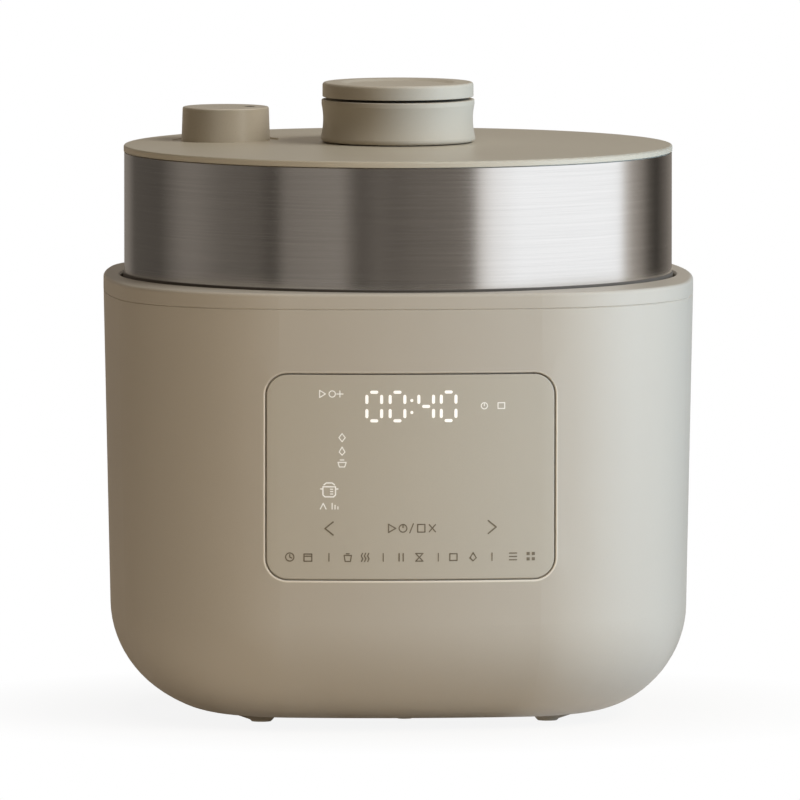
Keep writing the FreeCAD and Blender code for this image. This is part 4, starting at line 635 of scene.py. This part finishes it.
finishes = {
    "shellPlastic": (satinPlastic, bodyLook, ["housing_shell"]),
    "rimPlastic": (satinPlastic, shellLook, ["rim_ring"]),
    "panelPlastic": (satinPlastic, panelLook, ["control_panel"]),
    "lidPlastic": (satinPlastic, lidLook, ["lid_cover"]),
    "knobPlastic": (satinPlastic, knobLook, ["knob", "release_button"]),
    "capPlastic": (satinPlastic, capLook, ["vent_cap"]),
    "bandSteel": (brushedSteel, bandLook, ["lid_band"]),
    "potSteel": (brushedSteel, potLook, ["inner_pot", "pressure_lid"]),
    "sheetSteel": (plainMetal, sheetLook, [
        "outer_pot", "bayonet_ring", "heating_tube", "sensor_holder", "sensor_spring", "lid_posts",
        "vent_pipe", "vent_screen", "rocker_arm", "rocker_bracket", "lock_plate", "button_spring"]),
    "castAlloy": (plainMetal, castLook, ["heating_plate", "pot_sensor", "float_valve"]),
    "screwSteel": (plainMetal, screwLook, [
        "base_screws", "ring_screws", "lid_screws", "rocker_pin", "shaft_screws", "shaft_clip"]),
    "pinBrass": (plainMetal, brassLook, ["inlet_pins"]),
    "blackPlastic": (satinPlastic, blackLook, [
        "base_cover", "power_inlet", "pressure_switch", "vent_weight", "board_parts"]),
    "framePlastic": (satinPlastic, frameLook, ["lid_frame", "drive_shaft", "button_stem"]),
    "footRubber": (softRubber, footLook, ["feet"]),
    "sealSilicone": (softRubber, sealLook, ["seal_ring", "float_gasket"]),
    "boardLacquer": (circuitBoard, boardLook, ["display_board", "power_board"]),
    "guidePlastic": (clearPlastic, clearLook, ["light_guide"]),
}

for name, (maker, look, members) in finishes.items():
    material = maker(name, look)
    for member in members:
        nodes[member].data.materials.clear()
        nodes[member].data.materials.append(material)
print("finishes on", sum(len(entry[2]) for entry in finishes.values()), "nodes")

# Springs: wound wire in place of the two plain sleeves

springLook = {
    "sensor_spring": {"name": "sensorSpring", "wire": 0.0010, "turns": 6, "body": "base",
                      "joint": "sensor_press", "travel": 0.002},
    "button_spring": {"name": "buttonSpring", "wire": 0.0010, "turns": 10, "body": "lock",
                      "joint": "button_press", "travel": 0.001},
}


def windSpring(node, look, material, stepsPerTurn=28, sides=8, closedShare=1.08):
    # round wire in a helix, its first and last turns closed
    low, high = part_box(node)
    wire = look["wire"]
    middle = Vector(((low[0] + high[0]) / 2, (low[1] + high[1]) / 2, 0))
    reach = (high[0] - low[0]) / 2 - wire / 2
    closed = wire * closedShare  # how far a closed turn climbs
    foot = low[2] + wire / 2
    climb = high[2] - low[2] - wire - 2 * closed
    turns = look["turns"]
    shape = bmesh.new()
    rings = []
    for step in range(turns * stepsPerTurn + 1):
        turn = step / stepsPerTurn
        opened = min(max((turn - 1) / (turns - 2), 0), 1)
        height = foot + closed * (min(turn, 1) + max(turn - turns + 1, 0)) + climb * opened
        out = Vector((math.cos(fullTurn * turn), math.sin(fullTurn * turn), 0))
        ring = []
        for side in range(sides):
            bend = fullTurn * side / sides
            spot = middle + out * (reach + wire / 2 * math.cos(bend))
            spot.z = height + wire / 2 * math.sin(bend)
            ring.append(shape.verts.new(spot))
        rings.append(ring)
    for first, second in zip(rings, rings[1:]):
        for side in range(sides):
            after = (side + 1) % sides
            shape.faces.new((first[side], first[after], second[after], second[side]))
    shape.faces.new(rings[0][::-1])
    shape.faces.new(rings[-1])
    bmesh.ops.recalc_face_normals(shape, faces=shape.faces)
    for face in shape.faces:
        face.smooth = len(face.verts) == 4
    mesh = bpy.data.meshes.new(look["name"])
    shape.to_mesh(mesh)
    shape.free()
    mesh.materials.append(material)
    spring = bpy.data.objects.new(look["name"], mesh)
    bpy.context.scene.collection.objects.link(spring)
    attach(spring, look["body"])
    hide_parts(node)
    1 - look["travel"] / (high[2] - low[2])
    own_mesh(spring)


springWire = plainMetal("springWire", wireLook)
for node, look in springLook.items():
    windSpring(node, look, springWire)
print("springs wound")

# Panel marks: lit digits, dim signs and dark print, thin plates let into the curved panel

panelShape = {  # the CAD panel and how the marks lie on it, in millimetres and degrees
    "halfWidth": 122.0,
    "sideRadius": 338.0,
    "seam": 174.2,
    "draft": 1.2,
    "level": 105.5,
    "proud": 0.05,
    "sunk": 0.12,
    "markShare": 0.986,
    "markShift": (-0.73, 0.25),
}


def onPanel(across, up, lift):
    # a point on the panel's face, from its centre in millimetres to the frame in metres
    shiftAcross, shiftUp = panelShape["markShift"]
    across = across * panelShape["markShare"] + shiftAcross
    height = panelShape["level"] + up * panelShape["markShare"] + shiftUp
    inset = (panelShape["seam"] - height) * math.tan(math.radians(panelShape["draft"]))
    radius = panelShape["sideRadius"] - inset
    centre = panelShape["sideRadius"] - panelShape["halfWidth"]
    front = math.sqrt(radius ** 2 - across ** 2) - centre + lift
    return Vector((across, -front, height)) / 1000


def circle(centre, radius, steps):
    bends = [fullTurn * step / steps for step in range(steps)]
    return [(centre[0] + radius * math.cos(bend), centre[1] + radius * math.sin(bend)) for bend in bends]


class Marks:
    # flat shapes gathered into one mesh

    def __init__(self, name):
        self.name = name
        self.shape = bmesh.new()

    def corners(self, loop, lift):
        return [self.shape.verts.new(onPanel(across, up, lift)) for across, up in loop]

    def plate(self, loop, hole=None):
        front = self.corners(loop, panelShape["proud"])
        back = self.corners(loop, -panelShape["sunk"])
        count = len(loop)
        for place in range(count):
            after = (place + 1) % count
            self.shape.faces.new((front[after], front[place], back[place], back[after]))
        if hole is None:
            self.shape.faces.new(front)
            self.shape.faces.new(back[::-1])
            return
        frontIn = self.corners(hole, panelShape["proud"])
        backIn = self.corners(hole, -panelShape["sunk"])
        for place in range(count):
            after = (place + 1) % count
            self.shape.faces.new((front[place], front[after], frontIn[after], frontIn[place]))
            self.shape.faces.new((back[after], back[place], backIn[place], backIn[after]))
            self.shape.faces.new((frontIn[place], frontIn[after], backIn[after], backIn[place]))

    def bar(self, start, finish, width, steps=5):
        # a stroke with round ends
        angle = math.atan2(finish[1] - start[1], finish[0] - start[0])
        loop = []
        for centre, turn in ((finish, angle - math.pi / 2), (start, angle + math.pi / 2)):
            for step in range(steps + 1):
                bend = turn + math.pi * step / steps
                loop.append((centre[0] + width / 2 * math.cos(bend), centre[1] + width / 2 * math.sin(bend)))
        self.plate(loop)

    def path(self, points, width):
        for start, finish in zip(points, points[1:]):
            self.bar(start, finish, width)

    def ring(self, centre, radius, width, steps=24):
        self.plate(circle(centre, radius + width / 2, steps), circle(centre, radius - width / 2, steps))

    def dot(self, centre, radius, steps=16):
        self.plate(circle(centre, radius, steps))

    def sign(self, name, centre, width):
        for kind, *given in outlines[name]:
            if kind == "ring":
                self.ring(centre, given[0], width)
                continue
            points = [(centre[0] + across, centre[1] + up) for across, up in given]
            if kind == "fill":
                self.plate(points)
            elif kind == "loop":
                self.path(points + points[:1], width)
            else:
                self.path(points, width)

    def finish(self, material):
        bmesh.ops.recalc_face_normals(self.shape, faces=self.shape.faces)
        mesh = bpy.data.meshes.new(self.name)
        self.shape.to_mesh(mesh)
        self.shape.free()
        mesh.materials.append(material)
        piece = bpy.data.objects.new(self.name, mesh)
        bpy.context.scene.collection.objects.link(piece)
        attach(piece, "base")


def oblong(halfWide, halfTall):
    return (-halfWide, halfTall), (halfWide, halfTall), (halfWide, -halfTall), (-halfWide, -halfTall)


def tile(across, up, half=0.65):
    left, right, bottom, top = across - half, across + half, up - half, up + half
    return (left, bottom), (right, bottom), (right, top), (left, top)


def waft(across):
    return (across - 0.2, -1.7), (across + 0.3, -0.6), (across - 0.3, 0.6), (across + 0.2, 1.7)


# Signs, each from its own middle in millimetres: open lines, closed loops, rings by radius, filled shapes

outlines = {
    "arrow": [("loop", (-1.2, 1.5), (-1.2, -1.5), (1.2, 0.0))],
    "ring": [("ring", 1.3)],
    "plus": [("line", (0.0, 1.3), (0.0, -1.3)), ("line", (-1.3, 0.0), (1.3, 0.0))],
    "dial": [("ring", 1.3), ("line", (0.0, 0.0), (0.0, 0.9))],
    "window": [("loop", *oblong(1.4, 1.2))],
    "grain": [("loop", (0.0, 1.7), (1.3, 0.0), (0.0, -1.7), (-1.3, 0.0))],
    "drop": [("loop", (0.0, 2.1), (1.2, 0.0), (0.0, -1.3), (-1.2, 0.0))],
    "bowl": [("loop", (-1.7, 1.9), (-1.1, 0.0), (1.1, 0.0), (1.7, 1.9)), ("line", (-0.8, 2.9), (0.8, 2.9))],
    "pot": [
        ("loop", (-2.6, 1.1), (-2.6, -2.3), (-1.8, -3.1), (1.8, -3.1), (2.6, -2.3), (2.6, 1.1)),
        ("line", (-2.2, 1.9), (-1.2, 2.7), (1.2, 2.7), (2.2, 1.9)),
        ("line", (-2.6, 0.2), (-3.6, 0.2)),
        ("line", (2.6, 0.2), (3.6, 0.2)),
    ],
    "levels": [("line", (0.5, rise), (1.5, rise)) for rise in (-1.9, -0.9, 0.1)],
    "peak": [("line", (-1.2, 0.0), (0.0, 2.4), (1.2, 0.0))],
    "stairs": [
        ("line", (-1.2, 0.0), (-1.2, 2.4)),
        ("line", (0.0, 0.0), (0.0, 1.6)),
        ("line", (1.2, 0.0), (1.2, 1.0)),
    ],
    "left": [("line", (3.3, 2.6), (0.0, -0.1), (3.3, -2.8))],
    "right": [("line", (-3.3, 3.0), (0.0, 0.3), (-3.3, -2.4))],
    "start": [("loop", (0.0, 1.7), (0.0, -1.7), (3.0, 0.0))],
    "power": [("ring", 1.6), ("line", (0.0, 0.3), (0.0, 1.6))],
    "slash": [("line", (-0.75, -1.9), (0.75, 1.9))],
    "stop": [("loop", *oblong(1.5, 1.6))],
    "cross": [("line", (-1.3, 1.5), (1.3, -1.5)), ("line", (-1.3, -1.5), (1.3, 1.5))],
    "divider": [("line", (0.0, -1.6), (0.0, 1.6))],
    "clock": [("ring", 1.7), ("line", (0.0, 1.0), (0.0, 0.0), (0.8, -0.4))],
    "sheet": [
        ("loop", (-1.6, 1.3), (1.6, 1.3), (1.6, -1.7), (-1.6, -1.7)),
        ("line", (-1.6, 0.4), (1.6, 0.4)),
    ],
    "cup": [("loop", (-1.5, 0.8), (-1.1, -1.7), (1.1, -1.7), (1.5, 0.8)), ("line", (-0.6, 1.5), (0.6, 1.5))],
    "warmth": [("line", *waft(across)) for across in (-1.3, 0.0, 1.3)],
    "hold": [("line", (across, -1.5), (across, 1.5)) for across in (-0.85, 0.85)],
    "hourglass": [("loop", (-1.5, 1.6), (1.5, 1.6), (-1.5, -1.6), (1.5, -1.6))],
    "tray": [("loop", *oblong(1.5, 1.4))],
    "bead": [("loop", (0.0, 1.8), (1.3, -0.4), (0.0, -1.6), (-1.3, -0.4))],
    "list": [("line", (-1.5, rise), (1.5, rise)) for rise in (-1.4, 0.0, 1.4)],
    "tiles": [("fill", *tile(across, up)) for across in (-1.1, 1.1) for up in (-1.1, 1.1)],
}

litLook = {
    "colour": (1.0, 0.965, 0.91, 1.0),
    "strength": 0.62,
    "skinShade": 0.6,
    "flickerScale": 700,
    "flickerShade": 0.93,
    "rough": (0.4, 0.5),
}
dimLook = dict(litLook, colour=(0.93, 0.90, 0.84, 1.0), strength=0.42)


def litInk(name, look):
    # light that comes through the panel's skin
    material, tree = newTree(name)
    flicker = noise(tree, position(tree), look["flickerScale"])
    full = look["colour"]
    closeTree(tree, {
        "Base Color": darker(full, look["skinShade"]),
        "Roughness": vary(tree, flicker, *look["rough"]),
        "Emission Color": tint(tree, vary(tree, flicker), darker(full, look["flickerShade"]), full),
        "Emission Strength": look["strength"],
    })
    return material


printLook = {
    "colour": plain(112, 102, 86),
    "worn": plain(128, 118, 102),
    "wearScale": 1100,
    "wearBand": (0.35, 0.8),
    "rough": (0.42, 0.56),
}


def printInk(name, look):
    material, tree = newTree(name)
    wear = noise(tree, position(tree), look["wearScale"], detail=3)
    closeTree(tree, {
        "Base Color": tint(tree, spread(tree, wear, *look["wearBand"]), look["colour"], look["worn"]),
        "Roughness": vary(tree, wear, *look["rough"]),
    })
    return material


digitLook = {
    "height": 29.2,
    "bar": 1.3,
    "side": 3.05,
    "rise": 2.95,
    "top": 5.95,
    "tall": 2.55,
    "wide": 2.1,
    "digits": [(-14.6, "abcdef"), (-4.95, "abcdef"), (6.95, "bcfg"), (16.3, "abcdef")],  # place, lit bars
    "colon": (1.0, 2.5, 0.66),  # place, rise and radius of its dots
}


def addDigit(marks, look, centre, lit):
    # seven bars, named clockwise from the top, with g in the middle
    side, rise, top = look["side"], look["rise"], look["top"]
    half = look["tall"] / 2
    flat = look["wide"] / 2
    bars = {
        "a": ((-flat, top), (flat, top)),
        "b": ((side, rise - half), (side, rise + half)),
        "c": ((side, -rise - half), (side, -rise + half)),
        "d": ((-flat, -top), (flat, -top)),
        "e": ((-side, -rise - half), (-side, -rise + half)),
        "f": ((-side, rise - half), (-side, rise + half)),
        "g": ((-flat, 0), (flat, 0)),
    }
    for letter in lit:
        start, finish = [(centre + across, look["height"] + up) for across, up in bars[letter]]
        marks.bar(start, finish, look["bar"])


litMarks = Marks("panelDigits")
for centre, lit in digitLook["digits"]:
    addDigit(litMarks, digitLook, centre, lit)
colonPlace, colonRise, colonRadius = digitLook["colon"]
for side in (-1, 1):
    litMarks.dot((colonPlace, digitLook["height"] + colonRise * side), colonRadius)
litMarks.finish(litInk("digitLight", litLook))

signLook = {
    "lines": {"thin": 0.42, "bold": 0.5},
    "signs": [  # sign, line and centre
        ("arrow", "thin", (-36.0, 34.4)),
        ("ring", "thin", (-32.0, 34.4)),
        ("plus", "thin", (-28.8, 34.4)),
        ("dial", "thin", (31.2, 29.3)),
        ("window", "thin", (38.3, 29.3)),
        ("grain", "thin", (-27.9, 16.2)),
        ("drop", "thin", (-27.9, 10.2)),
        ("bowl", "thin", (-27.9, 4.0)),
        ("pot", "bold", (-33.2, -5.4)),
        ("levels", "thin", (-33.2, -5.4)),
        ("peak", "thin", (-35.7, -13.6)),
        ("stairs", "thin", (-30.8, -13.6)),
    ],
}
dimMarks = Marks("panelSigns")
for name, line, centre in signLook["signs"]:
    dimMarks.sign(name, centre, signLook["lines"][line])
dimMarks.finish(litInk("signLight", dimLook))
print("panel lights set")

inkLook = {
    "lines": {"thin": 0.50, "arrow": 0.62, "divider": 0.45, "hold": 0.6},
    "rows": {  # by height: sign, line and place across
        -21.6: [
            ("left", "arrow", -34.9), ("right", "arrow", 36.2), ("start", "thin", -8.6),
            ("power", "thin", -2.6), ("slash", "thin", 0.95), ("stop", "thin", 5.0), ("cross", "thin", 9.6),
        ],
        -33.7: [
            ("divider", "divider", -33.3), ("divider", "divider", -10.8), ("divider", "divider", 12.1),
            ("divider", "divider", 34.5), ("clock", "thin", -49.5), ("sheet", "thin", -42.0),
            ("cup", "thin", -25.5), ("warmth", "thin", -18.3), ("hold", "hold", -3.35),
            ("hourglass", "thin", 4.2), ("tray", "thin", 18.4), ("bead", "thin", 26.6),
            ("list", "thin", 43.3), ("tiles", "thin", 50.7),
        ],
    },
}
inkMarks = Marks("panelPrint")
for height, row in inkLook["rows"].items():
    for name, line, across in row:
        inkMarks.sign(name, (across, height), inkLook["lines"][line])
inkMarks.finish(printInk("printInk", printLook))
print("panel print set")
